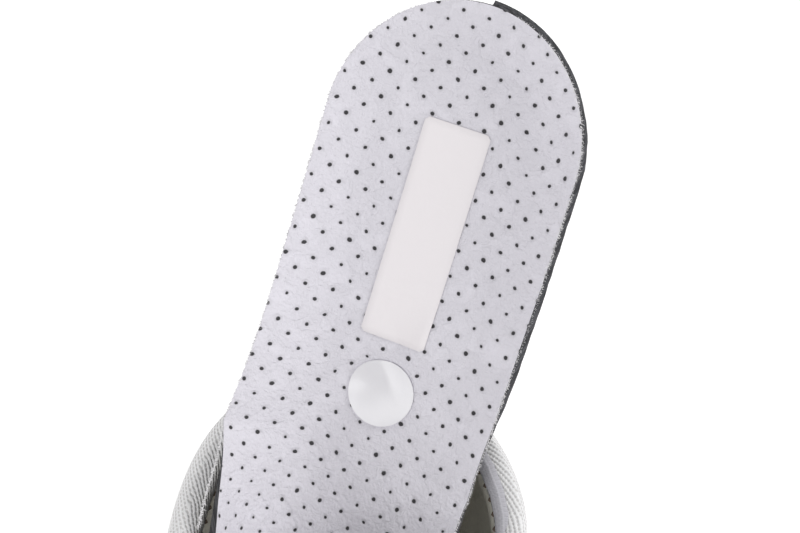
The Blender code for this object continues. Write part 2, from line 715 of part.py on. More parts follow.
class Insole:
    """The moulded insole: a spine that leaves the forefoot and passes over the heel collar."""

    def __init__(self):
        self.steps = 131
        self.scale = 1.0
        low, high = 0.5, 1.6
        for _ in range(30):
            self.scale = (low + high) / 2
            self.trace()
            toe = self.spine[-1]
            if toe.z - INSOLE_THICK - GAP > footbed(toe.x) + 0.0024:
                low = self.scale
            else:
                high = self.scale
        self.trace()

    def heading(self, share):
        """Direction along the spine."""
        pitch = math.radians(curve(INSOLE_BED, share, "slope")) * self.scale
        yaw = math.radians(curve(INSOLE_BED, share, "yaw"))
        return Vector((math.cos(pitch) * math.cos(yaw), math.cos(pitch) * math.sin(yaw), -math.sin(pitch)))

    def trace(self):
        """Lays out the spine from the point above the heel crest, towards both ends."""
        crossing = DRAWN_OUT / INSOLE_LENGTH
        crest = topline(0.0, 1)
        self.spine = []
        step = INSOLE_LENGTH / (self.steps - 1)
        path = [Vector((0.0, 0.0, 0.0))]
        for k in range(self.steps - 1):
            path.append(path[-1] + self.heading((k + 0.5) / (self.steps - 1)) * step)
        at = path[round(crossing * (self.steps - 1))]
        start = Vector((crest.x, INSOLE_SHIFT, crest.z + CREST_CLEAR + INSOLE_THICK)) - at
        self.spine = [start + p for p in path]

    def frame(self, share):
        """Spine point with the directions along it, across it and up from it."""
        place = share * (self.steps - 1)
        k = min(int(place), self.steps - 2)
        point = self.spine[k].lerp(self.spine[k + 1], place - k)
        along = self.heading(share)
        across = UP.cross(along).normalized()
        up = along.cross(across)
        roll = math.radians(curve(INSOLE_BED, share, "roll"))
        return point, along, across * math.cos(roll) + up * math.sin(roll), up * math.cos(roll) - across * math.sin(roll)

    def body(self, share):
        """Half widths before the ends are rounded, inner side first."""
        return INSOLE_BALL * curve(INSOLE_BED, share, "inner"), INSOLE_BALL * curve(INSOLE_BED, share, "outer")

    def ends(self, share):
        """Share of the full width that the rounded heel and toe leave."""
        along = share * INSOLE_LENGTH
        return rounded(along, INSOLE_HEEL_ROUND) * rounded(INSOLE_LENGTH - along, INSOLE_TOE_ROUND)

    def width(self, share, t):
        """Distance from the spine at a share of the length and a share t of the half width."""
        inner, outer = self.body(share)
        ends = self.ends(share)
        centre, half = (outer - inner) / 2, (inner + outer) / 2
        return centre * ends + t * half * ends

    def lift(self, share, y):
        """Height of the cup and the arch above the flat of the insole."""
        inner, outer = self.body(share)
        along = share * INSOLE_LENGTH
        body = outer if y > 0 else inner
        ahead = max(1 - along / INSOLE_HEEL_ROUND, 0.0)
        edge = (1 - math.hypot(ahead, y / body)) * body
        cup = CUP_HEIGHT * curve(INSOLE_BED, share, "cup") * ease(1 - edge / CUP_WIDTH, 0.0, 1.35) * 1.2
        spread = ARCH_WIDTH * curve(INSOLE_BED, share, "spread")
        arch = ARCH_HEIGHT * curve(INSOLE_BED, share, "arch") * ease(1 - (inner + y) / spread, 0.0, 1.25) * 1.15
        return max(cup, 0.0) + max(arch, 0.0)

    def half_angle(self, share):
        """Half the angle that a section curls through, from the share of its width that it keeps."""
        keep = min(curve(INSOLE_BED, share, "keep"), 0.9995)
        low, high = 0.0, math.pi / 2
        for _ in range(30):
            angle = (low + high) / 2
            if math.sin(angle) / angle > keep:
                low = angle
            else:
                high = angle
        return low

    def at(self, share, t, below=0.0):
        """Point of the top face, or below it."""
        point, _, across, up = self.frame(share)
        y = self.width(share, t)
        inner, outer = self.body(share)
        radius = (inner + outer) / 2 / self.half_angle(share)
        angle = y / radius
        raised = self.lift(share, y) - below
        level = (radius - raised) * math.sin(angle)
        height = radius - (radius - raised) * math.cos(angle)
        return point + across * level + up * height

    def thickness(self, share, t):
        """Thickness, which falls off to the rim."""
        edge = max(abs(t), 1 - self.ends(share))
        return INSOLE_THICK + (INSOLE_RIM - INSOLE_THICK) * ease(edge, 0.6, 1.0)


def inner_wall(upper):
    """Search tree over the inner face of the upper."""
    columns, rows = range(upper.count + 1), range(LAST_ROW + 1)
    points = [upper.face(i, row, False) for i in columns for row in rows]
    width = LAST_ROW + 1
    corners = [i * width + row for i in columns[:-1] for row in rows[:-1]]
    return BVHTree.FromPolygons(points, [(c, c + 1, c + width + 1, c + width) for c in corners])


def squeeze(sections, middles, wall, side, places):
    """Draws in one side of the sections inside the shoe until they clear its wall."""
    shares = []
    for section, middle, place in zip(sections, middles, places):
        share = 1.0
        for point in section if place > INSOLE_INSIDE else ():
            reach = side * (point.y - middle.y)
            if reach < INSOLE_THICK:
                continue
            for drop in (0.0, INSOLE_THICK, 2 * INSOLE_THICK):
                start = Vector((point.x, middle.y, point.z - drop))
                hit = wall.ray_cast(start, Vector((0.0, side, 0.0)))[3]
                if hit is not None:
                    share = min(share, (hit - INSOLE_CLEAR) / reach)
        shares.append(share)
    for k, (section, middle) in enumerate(zip(sections, middles)):
        share = min(other + INSOLE_EASE * max(abs(k - i) - 1, 0) for i, other in enumerate(shares))
        for point in section:
            if side * (point.y - middle.y) > 0:
                point.y = middle.y + (point.y - middle.y) * share


def make_insole(upper, parts):
    """The insole, and the smooth patch on its heel."""
    insole = Insole()
    shares = [share_of(k / INSOLE_STATIONS) for k in range(INSOLE_STATIONS + 1)]
    top = [[insole.at(s, t) for t in INSOLE_ACROSS] for s in shares]
    bottom = [[insole.at(s, t, insole.thickness(s, t)) for t in INSOLE_ACROSS] for s in shares]
    wall = inner_wall(upper)
    for side in (1, -1):
        squeeze([a + b for a, b in zip(top, bottom)], [insole.frame(s)[0] for s in shares], wall, side, shares)
    bed = Solid()
    bed.slab((top, bottom))
    bed.build("insole", (0.80, 0.79, 0.80), 0.9, parts)
    lines = [[], []]
    for k in range(7):
        share = (PATCH_START + PATCH_LENGTH * k / 6) / INSOLE_LENGTH
        half = insole.width(share, 1.0) - insole.width(share, 0.0)
        for line, below in zip(lines, (-GAP - PATCH_THICK, -GAP)):
            line.append([insole.at(share, u * PATCH_WIDTH / 2 / half, below) for u in (-1.0, 0.0, 1.0)])
    patch = Solid()
    patch.slab(lines)
    patch.build("insole_patch", (0.83, 0.81, 0.78), 0.6, parts)


def main():
    for obj in list(bpy.data.objects):
        bpy.data.objects.remove(obj, do_unlink=True)
    parts = bpy.data.collections.new("basketball_shoe")
    cutters = bpy.data.collections.new("cutters")
    for collection in (parts, cutters):
        bpy.context.scene.collection.children.link(collection)
    upper = Upper()
    holes = make_holes(upper, cutters)
    make_outsole(parts, cutters)
    make_midsole(upper, parts)
    make_upper(upper, parts, holes)
    make_overlays(upper, parts, holes)
    make_tongue(upper, parts)
    make_laces(upper, parts, cutters)
    make_insole(upper, parts)


main()
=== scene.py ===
"""Looks of a white low-cut basketball shoe whose insole is drawn half out over the heel collar.

Metres. +X runs to the toe, +Y to the outer side of the left foot and +Z up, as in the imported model.
"""

import logging
import math
import random
from collections.abc import Callable, Sequence
from dataclasses import dataclass, field
from enum import Enum

import bmesh
import bpy
from bmesh.types import BMesh
from bpy.types import Material, Node, NodeSocket, NodeTree, Object
from mathutils import Matrix, Vector
from mathutils.bvhtree import BVHTree


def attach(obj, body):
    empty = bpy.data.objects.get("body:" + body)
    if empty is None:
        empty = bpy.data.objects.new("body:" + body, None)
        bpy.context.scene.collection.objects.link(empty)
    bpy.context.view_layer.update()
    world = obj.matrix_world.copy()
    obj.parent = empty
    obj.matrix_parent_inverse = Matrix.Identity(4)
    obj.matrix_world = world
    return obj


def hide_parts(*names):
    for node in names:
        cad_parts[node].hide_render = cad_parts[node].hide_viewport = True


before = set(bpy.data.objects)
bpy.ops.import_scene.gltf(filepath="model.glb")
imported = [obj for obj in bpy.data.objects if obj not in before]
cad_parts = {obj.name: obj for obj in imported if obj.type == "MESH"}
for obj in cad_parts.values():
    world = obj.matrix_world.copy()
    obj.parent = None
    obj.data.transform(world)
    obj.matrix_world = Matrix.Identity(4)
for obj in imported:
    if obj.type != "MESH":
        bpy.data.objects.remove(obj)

LOG = logging.getLogger("shoe")
UP = Vector((0.0, 0.0, 1.0))
WELD = 2e-6
CREASE = 0.85
COLLAR_SEAM = 0.0145
LINING_SEAM = 0.0056
Color = tuple[float, float, float]
Marks = list[tuple[Vector, Vector]]
Strap = list[tuple[Vector, Vector, float]]


def ease(value: float, low: float, high: float) -> float:
    """0 below low, 1 above high, and smooth between them."""
    u = min(max((value - low) / (high - low), 0.0), 1.0)
    return u * u * (3 - 2 * u)


def rounded(distance: float, radius: float) -> float:
    """Share of the full width at a distance from a round end.

    Args:
        distance: Distance from the end.
        radius: Radius of the end.

    Returns:
        The share, from 0 to 1.
    """
    if distance >= radius:
        return 1.0
    return math.sqrt(max(1 - (1 - max(distance, 0.0) / radius) ** 2, 0.0))


def smooth_value(keys: Sequence[float], values: Sequence[float], at: float) -> float:
    """Reads a smooth curve through a few values.

    Args:
        keys: Where the values lie, rising.
        values: The values there.
        at: Where to read.

    Returns:
        The value on the curve.
    """
    at = min(max(at, keys[0]), keys[-1])
    last = len(keys) - 1
    k = next(i for i in range(last) if at <= keys[i + 1])

    def tangent(i: int) -> float:
        """Slope of the curve at a key."""
        low, high = max(i - 1, 0), min(i + 1, last)
        return (values[high] - values[low]) / (keys[high] - keys[low])

    span = keys[k + 1] - keys[k]
    u = (at - keys[k]) / span
    start = (2 * u**3 - 3 * u**2 + 1) * values[k] + (u**3 - 2 * u**2 + u) * span * tangent(k)
    end = (3 * u**2 - 2 * u**3) * values[k + 1] + (u**3 - u**2) * span * tangent(k + 1)
    return start + end


class Graph:
    """Adds nodes to a node tree and joins them."""

    def __init__(self, tree: NodeTree) -> None:
        """Starts on an empty or a fresh tree."""
        self.tree = tree

    def add(self, kind: str, inputs: dict | None = None, **settings: object) -> Node:
        """Adds one node.

        Args:
            kind: The node's type, without the ShaderNode in front.
            inputs: Values, or sockets to link, by the input's name or number.
            settings: Properties of the node.

        Returns:
            The node.
        """
        node = self.tree.nodes.new("ShaderNode" + kind)
        for name, value in settings.items():
            setattr(node, name, value)
        for name, value in (inputs or {}).items():
            if isinstance(value, NodeSocket):
                self.tree.links.new(value, node.inputs[name])
            else:
                node.inputs[name].default_value = value
        return node

    def math(self, operation: str, *values: object) -> NodeSocket:
        """Result of a Math node."""
        return self.add("Math", dict(enumerate(values)), operation=operation).outputs[0]

    def vector(self, operation: str, *values: object) -> NodeSocket:
        """Result of a Vector Math node, a number where the operation gives one."""
        node = self.add("VectorMath", dict(enumerate(values)), operation=operation)
        return node.outputs["Value" if operation in ("LENGTH", "DOT_PRODUCT", "DISTANCE") else "Vector"]

    def times(self, *values: object) -> NodeSocket:
        """Product of two values."""
        return self.math("MULTIPLY", *values)

    def plus(self, *values: object) -> NodeSocket:
        """Sum of two values."""
        return self.math("ADD", *values)

    def ramp(self, value: object, low: object, high: object, start: float = 0.0,
             end: float = 1.0) -> NodeSocket:
        """Value eased from start to end as it goes from low to high."""
        inputs = {0: value, 1: low, 2: high, 3: start, 4: end}
        return self.add("MapRange", inputs, interpolation_type="SMOOTHSTEP").outputs[0]

    def mix(self, factor: object, a: object, b: object, blend: str = "MIX") -> NodeSocket:
        """Blend of two colours.

        Args:
            factor: Share of the second colour.
            a: First colour.
            b: Second colour.
            blend: How the two are blended.

        Returns:
            The blended colour.
        """
        node = self.add("Mix", data_type="RGBA", blend_type=blend)
        for socket, value in ((node.inputs[0], factor), (node.inputs[6], a), (node.inputs[7], b)):
            if isinstance(value, NodeSocket):
                self.tree.links.new(value, socket)
            else:
                is_color = isinstance(value, tuple) and len(value) == 3
                socket.default_value = (*value, 1.0) if is_color else value
        return node.outputs[2]

    def wander(self, place: NodeSocket, scale: float, detail: float, reach: float) -> NodeSocket:
        """A place moved a little to and fro along X and Y.

        Args:
            place: The place to move.
            scale: Scale of the movement.
            detail: Detail of the movement.
            reach: How far it goes.

        Returns:
            The moved place.
        """
        inputs = {"Vector": place, "Scale": scale, "Detail": detail}
        rough = self.vector("SUBTRACT", self.add("TexNoise", inputs).outputs["Color"], (0.5, 0.5, 0.5))
        return self.vector("ADD", place, self.vector("MULTIPLY", rough, (reach, reach, 0.0)))

    def noise(self, vector: object, scale: float, detail: float = 2.0,
              rough: float = 0.5) -> NodeSocket:
        """Factor of a noise texture."""
        inputs = {"Vector": vector, "Scale": scale, "Detail": detail, "Roughness": rough}
        return self.add("TexNoise", inputs).outputs["Fac"]


class Effects:
    """Shader node groups that several finishes share, each built once."""

    def __init__(self) -> None:
        """Builds every group."""
        self.mesh = self.group("Sandwich mesh", {"Across": 0.0024, "Along": 0.0020, "Hole": 0.30},
                               ("Openings", "Height"), self.build_mesh)
        self.holes = self.group("Air holes", {"Pitch": 0.005, "Radius": 0.0006, "Turn": 0.77},
                                ("Holes", "Dent"), self.build_holes)
        self.grain = self.group("Leather grain", {"Size": 0.0011, "Wrinkle": 0.5},
                                ("Height", "Tone"), self.build_grain)
        self.weave = self.group("Fine weave", {"Pitch": 0.0007}, ("Height", "Tone"), self.build_weave)
        self.wear = self.group("Handling", {"Amount": 0.5}, ("Tone",), self.build_wear)

    @staticmethod
    def group(name: str, inputs: dict, outputs: tuple[str, ...],
              build: Callable[[Graph, Node], tuple]) -> NodeTree:
        """Makes a node group.

        Args:
            name: The group's name.
            inputs: Each number's name with its value. A vector, Place, comes before them.
            outputs: Names of the outputs, all numbers.
            build: Adds the nodes and returns one socket for each output.

        Returns:
            The group.
        """
        tree = bpy.data.node_groups.new(name, "ShaderNodeTree")
        tree.interface.new_socket("Place", in_out="INPUT", socket_type="NodeSocketVector")
        for key, value in inputs.items():
            socket = tree.interface.new_socket(key, in_out="INPUT", socket_type="NodeSocketFloat")
            socket.default_value = value
        for key in outputs:
            tree.interface.new_socket(key, in_out="OUTPUT", socket_type="NodeSocketFloat")
        graph = Graph(tree)
        entry, leave = tree.nodes.new("NodeGroupInput"), tree.nodes.new("NodeGroupOutput")
        for key, socket in zip(outputs, build(graph, entry)):
            tree.links.new(socket, leave.inputs[key])
        return tree

    @staticmethod
    def build_mesh(g: Graph, entry: Node) -> tuple:
        """Two interleaved rows of oval openings between round knitted bars.

        Args:
            g: The group's graph.
            entry: The node that gives the group's inputs.

        Returns:
            One socket for each output of the group.
        """
        place = g.wander(entry.outputs["Place"], 700.0, 1.0, 0.0005)
        size = {0: entry.outputs["Across"], 1: entry.outputs["Along"], 2: 1.0}
        share = g.vector("DIVIDE", place, g.add("CombineXYZ", size).outputs[0])
        nearest = None
        for offset in ((0.0, 0.0, 0.0), (0.5, 0.5, 0.0)):
            cell_share = g.vector("FRACTION", g.vector("ADD", share, offset))
            local = g.vector("SUBTRACT", cell_share, (0.5, 0.5, 0.0))
            parts = g.add("SeparateXYZ", {0: local})
            slant = g.plus(parts.outputs[0], g.times(parts.outputs[1], 0.45))
            long = g.times(parts.outputs[1], 0.95)
            leaning = g.add("CombineXYZ", {0: g.times(slant, 1.45), 1: long})
            reach = g.vector("LENGTH", leaning.outputs[0])
            nearest = reach if nearest is None else g.math("MINIMUM", nearest, reach)
        hole = entry.outputs["Hole"]
        openings = g.ramp(nearest, g.times(hole, 0.55), g.times(hole, 0.95), 1.0, 0.0)
        fibre = g.noise(place, 5200.0, 3.0, 0.7)
        height = g.plus(g.ramp(nearest, 0.05, 0.5), g.times(fibre, 0.22))
        return openings, height

    @staticmethod
    def build_holes(g: Graph, entry: Node) -> tuple:
        """A turned square grid of punched holes, each a little out of round and place.

        Args:
            g: The group's graph.
            entry: The node that gives the group's inputs.

        Returns:
            One socket for each output of the group.
        """
        turned = g.add("VectorRotate", {"Vector": entry.outputs["Place"], "Angle": entry.outputs["Turn"]},
                       rotation_type="Z_AXIS").outputs[0]
        drift = g.wander(turned, 60.0, 1.0, 0.0008)
        place = g.vector("ADD", g.wander(turned, 420.0, 2.0, 0.0007), g.vector("SUBTRACT", drift, turned))
        pitch = entry.outputs["Pitch"]
        scaled = g.vector("DIVIDE", place, g.add("CombineXYZ", {0: pitch, 1: pitch, 2: pitch}).outputs[0])
        local = g.vector("SUBTRACT", g.vector("FRACTION", scaled), (0.5, 0.5, 0.0))
        flat = g.vector("MULTIPLY", local, (1.0, 1.0, 0.0))
        reach = g.times(g.vector("LENGTH", flat), pitch)
        cell = g.vector("FLOOR", scaled)
        chance = g.add("TexWhiteNoise", {"Vector": cell}, noise_dimensions="3D").outputs["Value"]
        radius = g.times(entry.outputs["Radius"], g.plus(0.78, g.times(chance, 0.40)))
        holes = g.ramp(reach, g.times(radius, 0.72), g.times(radius, 1.15), 1.0, 0.0)
        dent = g.ramp(reach, radius, g.times(radius, 2.6), 1.0, 0.0)
        return holes, dent

    @staticmethod
    def build_grain(g: Graph, entry: Node) -> tuple:
        """Fine pebbles with thin wandering wrinkles.

        Args:
            g: The group's graph.
            entry: The node that gives the group's inputs.

        Returns:
            One socket for each output of the group.
        """
        place = entry.outputs["Place"]
        scale = g.math("DIVIDE", 1.0, entry.outputs["Size"])
        pebble = g.add("TexVoronoi", {"Vector": place, "Scale": scale, "Randomness": 1.0},
                       feature="SMOOTH_F1").outputs["Distance"]
        bend = g.add("TexNoise", {"Vector": place, "Scale": 90.0, "Detail": 3.0}).outputs["Color"]
        bent = g.vector("ADD", place, g.vector("MULTIPLY", bend, (0.012, 0.012, 0.012)))
        lines = g.noise(bent, 170.0, 4.0, 0.62)
        ridge = g.math("ABSOLUTE", g.math("SUBTRACT", lines, 0.5))
        wrinkle = g.times(g.ramp(ridge, 0.0, 0.10, 1.0, 0.0), entry.outputs["Wrinkle"])
        fine = g.noise(place, 2600.0, 2.0, 0.6)
        bumps = g.plus(g.times(pebble, 0.7), g.times(fine, 0.5))
        height = g.math("SUBTRACT", bumps, wrinkle)
        tone = g.plus(g.times(lines, 0.6), g.times(fine, 0.4))
        return height, tone

    @staticmethod
    def build_weave(g: Graph, entry: Node) -> tuple:
        """Threads over and under, for laces and tapes.

        Args:
            g: The group's graph.
            entry: The node that gives the group's inputs.

        Returns:
            One socket for each output of the group.
        """
        parts = g.add("SeparateXYZ", {0: entry.outputs["Place"]})
        waves = []
        for socket in (parts.outputs[0], parts.outputs[1]):
            turn = g.times(g.math("DIVIDE", socket, entry.outputs["Pitch"]), math.tau / 2)
            waves.append(g.math("SINE", turn))
        over = g.times(waves[0], waves[1])
        fibre = g.noise(entry.outputs["Place"], 4800.0, 2.0, 0.7)
        height = g.plus(g.math("ABSOLUTE", over), g.times(fibre, 0.35))
        return height, g.ramp(over, -0.4, 0.4)

    @staticmethod
    def build_wear(g: Graph, entry: Node) -> tuple:
        """Slow uneven tone, as cloth and leather have where they are handled.

        Args:
            g: The group's graph.
            entry: The node that gives the group's inputs.

        Returns:
            One socket for each output of the group.
        """
        slow = g.noise(entry.outputs["Place"], 34.0, 3.0, 0.55)
        fine = g.noise(entry.outputs["Place"], 240.0, 2.0, 0.6)
        mixed = g.plus(g.times(slow, 0.7), g.times(fine, 0.3))
        swing = g.times(g.math("SUBTRACT", mixed, 0.5), entry.outputs["Amount"])
        return (g.plus(swing, 1.0),)


class Place(Enum):
    """Where a finish reads its pattern."""

    MAP = "UV"
    SPACE = "Object"


@dataclass(frozen=True)
class Finish:
    """A surface made of one base colour, a pattern's height and a handled tone."""

    name: str
    color: Color
    rough: float = 0.7
    bump: float = 0.0004
    strength: float = 0.6
    place: Place = Place.MAP
    tone: float = 0.10
    sheen: float = 0.0
    specular: float = 0.35

    def pattern(self, g: Graph, place: NodeSocket, effects: Effects) -> tuple:
        """Base colour, roughness and height of the pattern.

        Args:
            g: The material's graph.
            place: Where the pattern is read.
            effects: The shared groups.

        Returns:
            A colour socket or colour, a roughness socket or number, and a height socket.
        """
        grain = g.add("Group", {"Place": place}, node_tree=effects.grain)
        return self.color, self.rough, grain.outputs["Height"]

    def make(self, effects: Effects) -> Material:
        """Builds the material.

        Args:
            effects: The shared groups.

        Returns:
            The material.
        """
        material = bpy.data.materials.new(self.name)
        material.use_nodes = True
        g = Graph(material.node_tree)
        shader = material.node_tree.nodes["Principled BSDF"]
        place = g.add("TexCoord").outputs[self.place.value]
        color, rough, height = self.pattern(g, place, effects)
        space = g.add("TexCoord").outputs["Object"]
        wear = g.add("Group", {"Place": space, "Amount": self.tone}, node_tree=effects.wear)
        color = g.mix(1.0, color, wear.outputs["Tone"], "MULTIPLY")
        g.tree.links.new(color, shader.inputs["Base Color"])
        if isinstance(rough, NodeSocket):
            g.tree.links.new(rough, shader.inputs["Roughness"])
        else:
            shader.inputs["Roughness"].default_value = rough
        bump = g.add("Bump", {"Strength": self.strength, "Distance": self.bump, "Height": height})
        g.tree.links.new(bump.outputs["Normal"], shader.inputs["Normal"])
        shader.inputs["Specular IOR Level"].default_value = self.specular
        shader.inputs["Sheen Weight"].default_value = self.sheen
        shader.inputs["Sheen Roughness"].default_value = 0.6
        return material


@dataclass(frozen=True)
class MeshFinish(Finish):
    """Knitted sandwich mesh, with a leather lining where the second map says so."""

    # Painted shade: the grey seen at the bottom of each opening in the knit.
    under: Color = (0.66, 0.64, 0.63)
    lining: Color = (0.93, 0.90, 0.80)
    across: float = 0.0019
    along: float = 0.0018
    hole: float = 0.26
    lining_from: float = LINING_SEAM

    def pattern(self, g: Graph, place: NodeSocket, effects: Effects) -> tuple:
        """Openings in the knit with painted shade at their bottom, and the smooth lining lower down
        inside.

        Args:
            g: The material's graph.
            place: Where the pattern is read.
            effects: The shared groups.

        Returns:
            A colour, a roughness and a height, each a socket or a plain value.
        """
        knit = g.add("Group", {"Place": place, "Across": self.across, "Along": self.along,
                               "Hole": self.hole}, node_tree=effects.mesh)
        # Painted shade: the openings take the grey under colour.
        color = g.mix(g.times(knit.outputs["Openings"], 0.85), self.color, self.under)
        depth = g.add("SeparateXYZ", {0: g.add("UVMap", uv_map="depth").outputs[0]})
        inside = g.math("LESS_THAN", depth.outputs[1], 0.5)
        edge = g.ramp(depth.outputs[0], self.lining_from - 0.0004, self.lining_from + 0.0004)
        lined = g.times(edge, inside)
        grain = g.add("Group", {"Place": place, "Size": 0.0009, "Wrinkle": 0.15}, node_tree=effects.grain)
        color = g.mix(lined, color, self.lining)
        smooth = g.times(grain.outputs["Height"], 0.35)
        height = g.add("Mix", {0: lined, 2: knit.outputs["Height"], 3: smooth})
        return color, self.rough, height.outputs[0]


@dataclass(frozen=True)
class CoverFinish(Finish):
    """Suede-like insole cover with punched air holes."""

    # Dark foam seen through each hole, with painted shade deep in it, close to black.
    hole_foam_and_shade: Color = (0.05, 0.048, 0.052)
    pitch: float = 0.0050
    radius: float = 0.00052
    turn: float = 0.77

    def pattern(self, g: Graph, place: NodeSocket, effects: Effects) -> tuple:
        """Fine wrinkled grain, holes and the dent round each of them, with painted shade in the holes and
        the dents.

        Args:
            g: The material's graph.
            place: Where the pattern is read.
            effects: The shared groups.

        Returns:
            A colour, a roughness and a height, each a socket or a plain value.
        """
        grain = g.add("Group", {"Place": place, "Size": 0.0009, "Wrinkle": 0.40}, node_tree=effects.grain)
        holes = g.add("Group", {"Place": place, "Pitch": self.pitch, "Radius": self.radius,
                                "Turn": self.turn}, node_tree=effects.holes)
        shade = g.ramp(grain.outputs["Tone"], 0.25, 0.75, 0.94, 1.05)
        color = g.mix(1.0, self.color, shade, "MULTIPLY")
        # Painted shade: the cover darkens a little in the dent round each hole.
        rim = g.mix(g.times(holes.outputs["Dent"], 0.10), color, (0.45, 0.44, 0.45))
        # Painted shade: the holes take the near-black colour of foam in shade.
        color = g.mix(holes.outputs["Holes"], rim, self.hole_foam_and_shade)
        height = g.math("SUBTRACT", g.times(grain.outputs["Height"], 0.55),
                        g.plus(holes.outputs["Holes"], g.times(holes.outputs["Dent"], 0.35)))
        return color, self.rough, height


@dataclass(frozen=True)
class FoamFinish(Finish):
    """Open cells of cut foam."""

    cell: float = 0.0012

    def pattern(self, g: Graph, place: NodeSocket, effects: Effects) -> tuple:
        """Round cells of mixed size, with painted shade at the bottom of each.

        Args:
            g: The material's graph.
            place: Where the pattern is read.
            effects: The shared groups. Not used.

        Returns:
            A colour, a roughness and a height, each a socket or a plain value.
        """
        cells = g.add("TexVoronoi", {"Vector": place, "Scale": 1 / self.cell},
                      feature="F1").outputs["Distance"]
        fine = g.noise(place, 3200.0, 3.0, 0.7)
        depth = g.times(cells, g.plus(0.6, fine))
        # Painted shade: each cell darkens where it sinks deeper.
        color = g.mix(g.ramp(depth, 0.2, 0.9), self.color, tuple(0.45 * c for c in self.color))
        return color, self.rough, g.times(depth, -1.0)


@dataclass(frozen=True)
class WovenFinish(Finish):
    """Flat woven lace or tape."""

    pitch: float = 0.0008
    shade: float = 0.80

    def pattern(self, g: Graph, place: NodeSocket, effects: Effects) -> tuple:
        """Threads over and under in two tones.

        Args:
            g: The material's graph.
            place: Where the pattern is read.
            effects: The shared groups.

        Returns:
            A colour, a roughness and a height, each a socket or a plain value.
        """
        weave = g.add("Group", {"Place": place, "Pitch": self.pitch}, node_tree=effects.weave)
        dark = tuple(self.shade * c for c in self.color)
        return g.mix(weave.outputs["Tone"], dark, self.color), self.rough, weave.outputs["Height"]


@dataclass(frozen=True)
class MouldedFinish(Finish):
    """Moulded foam or rubber, satin with a fine spark texture and, on request, a tread pattern."""

    tread: float = 0.0

    def pattern(self, g: Graph, place: NodeSocket, effects: Effects) -> tuple:
        """Spark texture everywhere, and fine herringbone ribs on faces that look down.

        Args:
            g: The material's graph.
            place: Where the pattern is read.
            effects: The shared groups. Not used.

        Returns:
            A colour, a roughness and a height, each a socket or a plain value.
        """
        spark = g.noise(place, 1500.0, 3.0, 0.6)
        height = g.times(spark, 0.35)
        if self.tread:
            parts = g.add("SeparateXYZ", {0: place})
            zigzag = g.math("PINGPONG", parts.outputs[1], 0.006)
            run = g.plus(parts.outputs[0], zigzag)
            ribs = g.ramp(g.math("SINE", g.times(run, math.tau / self.tread)), -0.35, 0.35)
            down = g.add("SeparateXYZ", {0: g.add("NewGeometry").outputs["Normal"]}).outputs[2]
            height = g.plus(height, g.times(ribs, g.ramp(down, -0.9, -0.6, 1.6, 0.0)))
        rough = g.ramp(spark, 0.3, 0.7, self.rough - 0.05, self.rough + 0.06)
        return self.color, rough, height


def node_object(name: str) -> Object:
    """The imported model's object of a node."""
    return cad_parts[name]


def search_tree(*names: str) -> BVHTree:
    """Search tree over the solids of some nodes.

    Args:
        names: Names of the nodes.

    Returns:
        The search tree.
    """
    points, corners = [], []
    for name in names:
        source = node_object(name)
        start = len(points)
        points += [source.matrix_world @ v.co for v in source.data.vertices]
        corners += [tuple(start + i for i in face.vertices) for face in source.data.polygons]
    return BVHTree.FromPolygons(points, corners)


def inner_tree() -> BVHTree:
    """Search tree over the faces of the upper that look into the shoe.

    Returns:
        The search tree.
    """
    source, ring = node_object("upper"), Round()
    points = [source.matrix_world @ v.co for v in source.data.vertices]
    corners = []
    for face in source.data.polygons:
        centre = source.matrix_world @ face.center
        if (ring.spine(centre) - centre).normalized().dot(face.normal) > 0.25:
            corners.append(tuple(face.vertices))
    return BVHTree.FromPolygons(points, corners)


def object_from(name: str, mesh: BMesh, materials: Sequence[Material],
                smooth: float | None = 50.0) -> Object:
    """Makes an object from mesh data and frees the data.

    Args:
        name: The piece's name.
        mesh: The finished mesh.
        materials: One material for each face index that is used.
        smooth: Edges sharper than this many degrees stay sharp, or None for flat faces.

    Returns:
        The object, linked to the scene.
    """
    data = bpy.data.meshes.new(name)
    mesh.to_mesh(data)
    mesh.free()
    if smooth is not None:
        data.shade_smooth()
        data.set_sharp_from_angle(angle=math.radians(smooth))
    for material in materials:
        data.materials.append(material)
    made = bpy.data.objects.new(name, data)
    bpy.context.scene.collection.objects.link(made)
    return made


def face_rows(mesh: BMesh, rows: Sequence[Sequence[tuple]], closed: bool = False) -> None:
    """Skins rows of corners, each a vertex with its place on the pattern's map.

    Args:
        mesh: The mesh of the vertices.
        rows: The rows in order. One corner alone starts a fan.
        closed: Whether each row goes round.
    """
    layer = mesh.loops.layers.uv.verify()
    for low, high in zip(rows, rows[1:]):
        for i in range(len(high) if closed else len(high) - 1):
            j = (i + 1) % len(high)
            corners = (low[i], high[i], high[j], low[j]) if len(low) > 1 else (low[0], high[i], high[j])
            face = mesh.faces.new([vert for vert, _ in corners])
            for loop, (_, place) in zip(face.loops, corners):
                loop[layer].uv = place


def place_piece(piece: Object, slot: str, *nodes: str) -> Object:
    """Rides a piece on the shoe and hides the nodes that it stands for.

    Args:
        piece: The piece to place.
        slot: Name of its slot. Not used.
        nodes: Nodes that it stands for.

    Returns:
        The piece.
    """
    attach(piece, "root")
    if nodes:
        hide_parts(*nodes)
    LOG.info("%s: %d faces", piece.name, len(piece.data.polygons))
    return piece


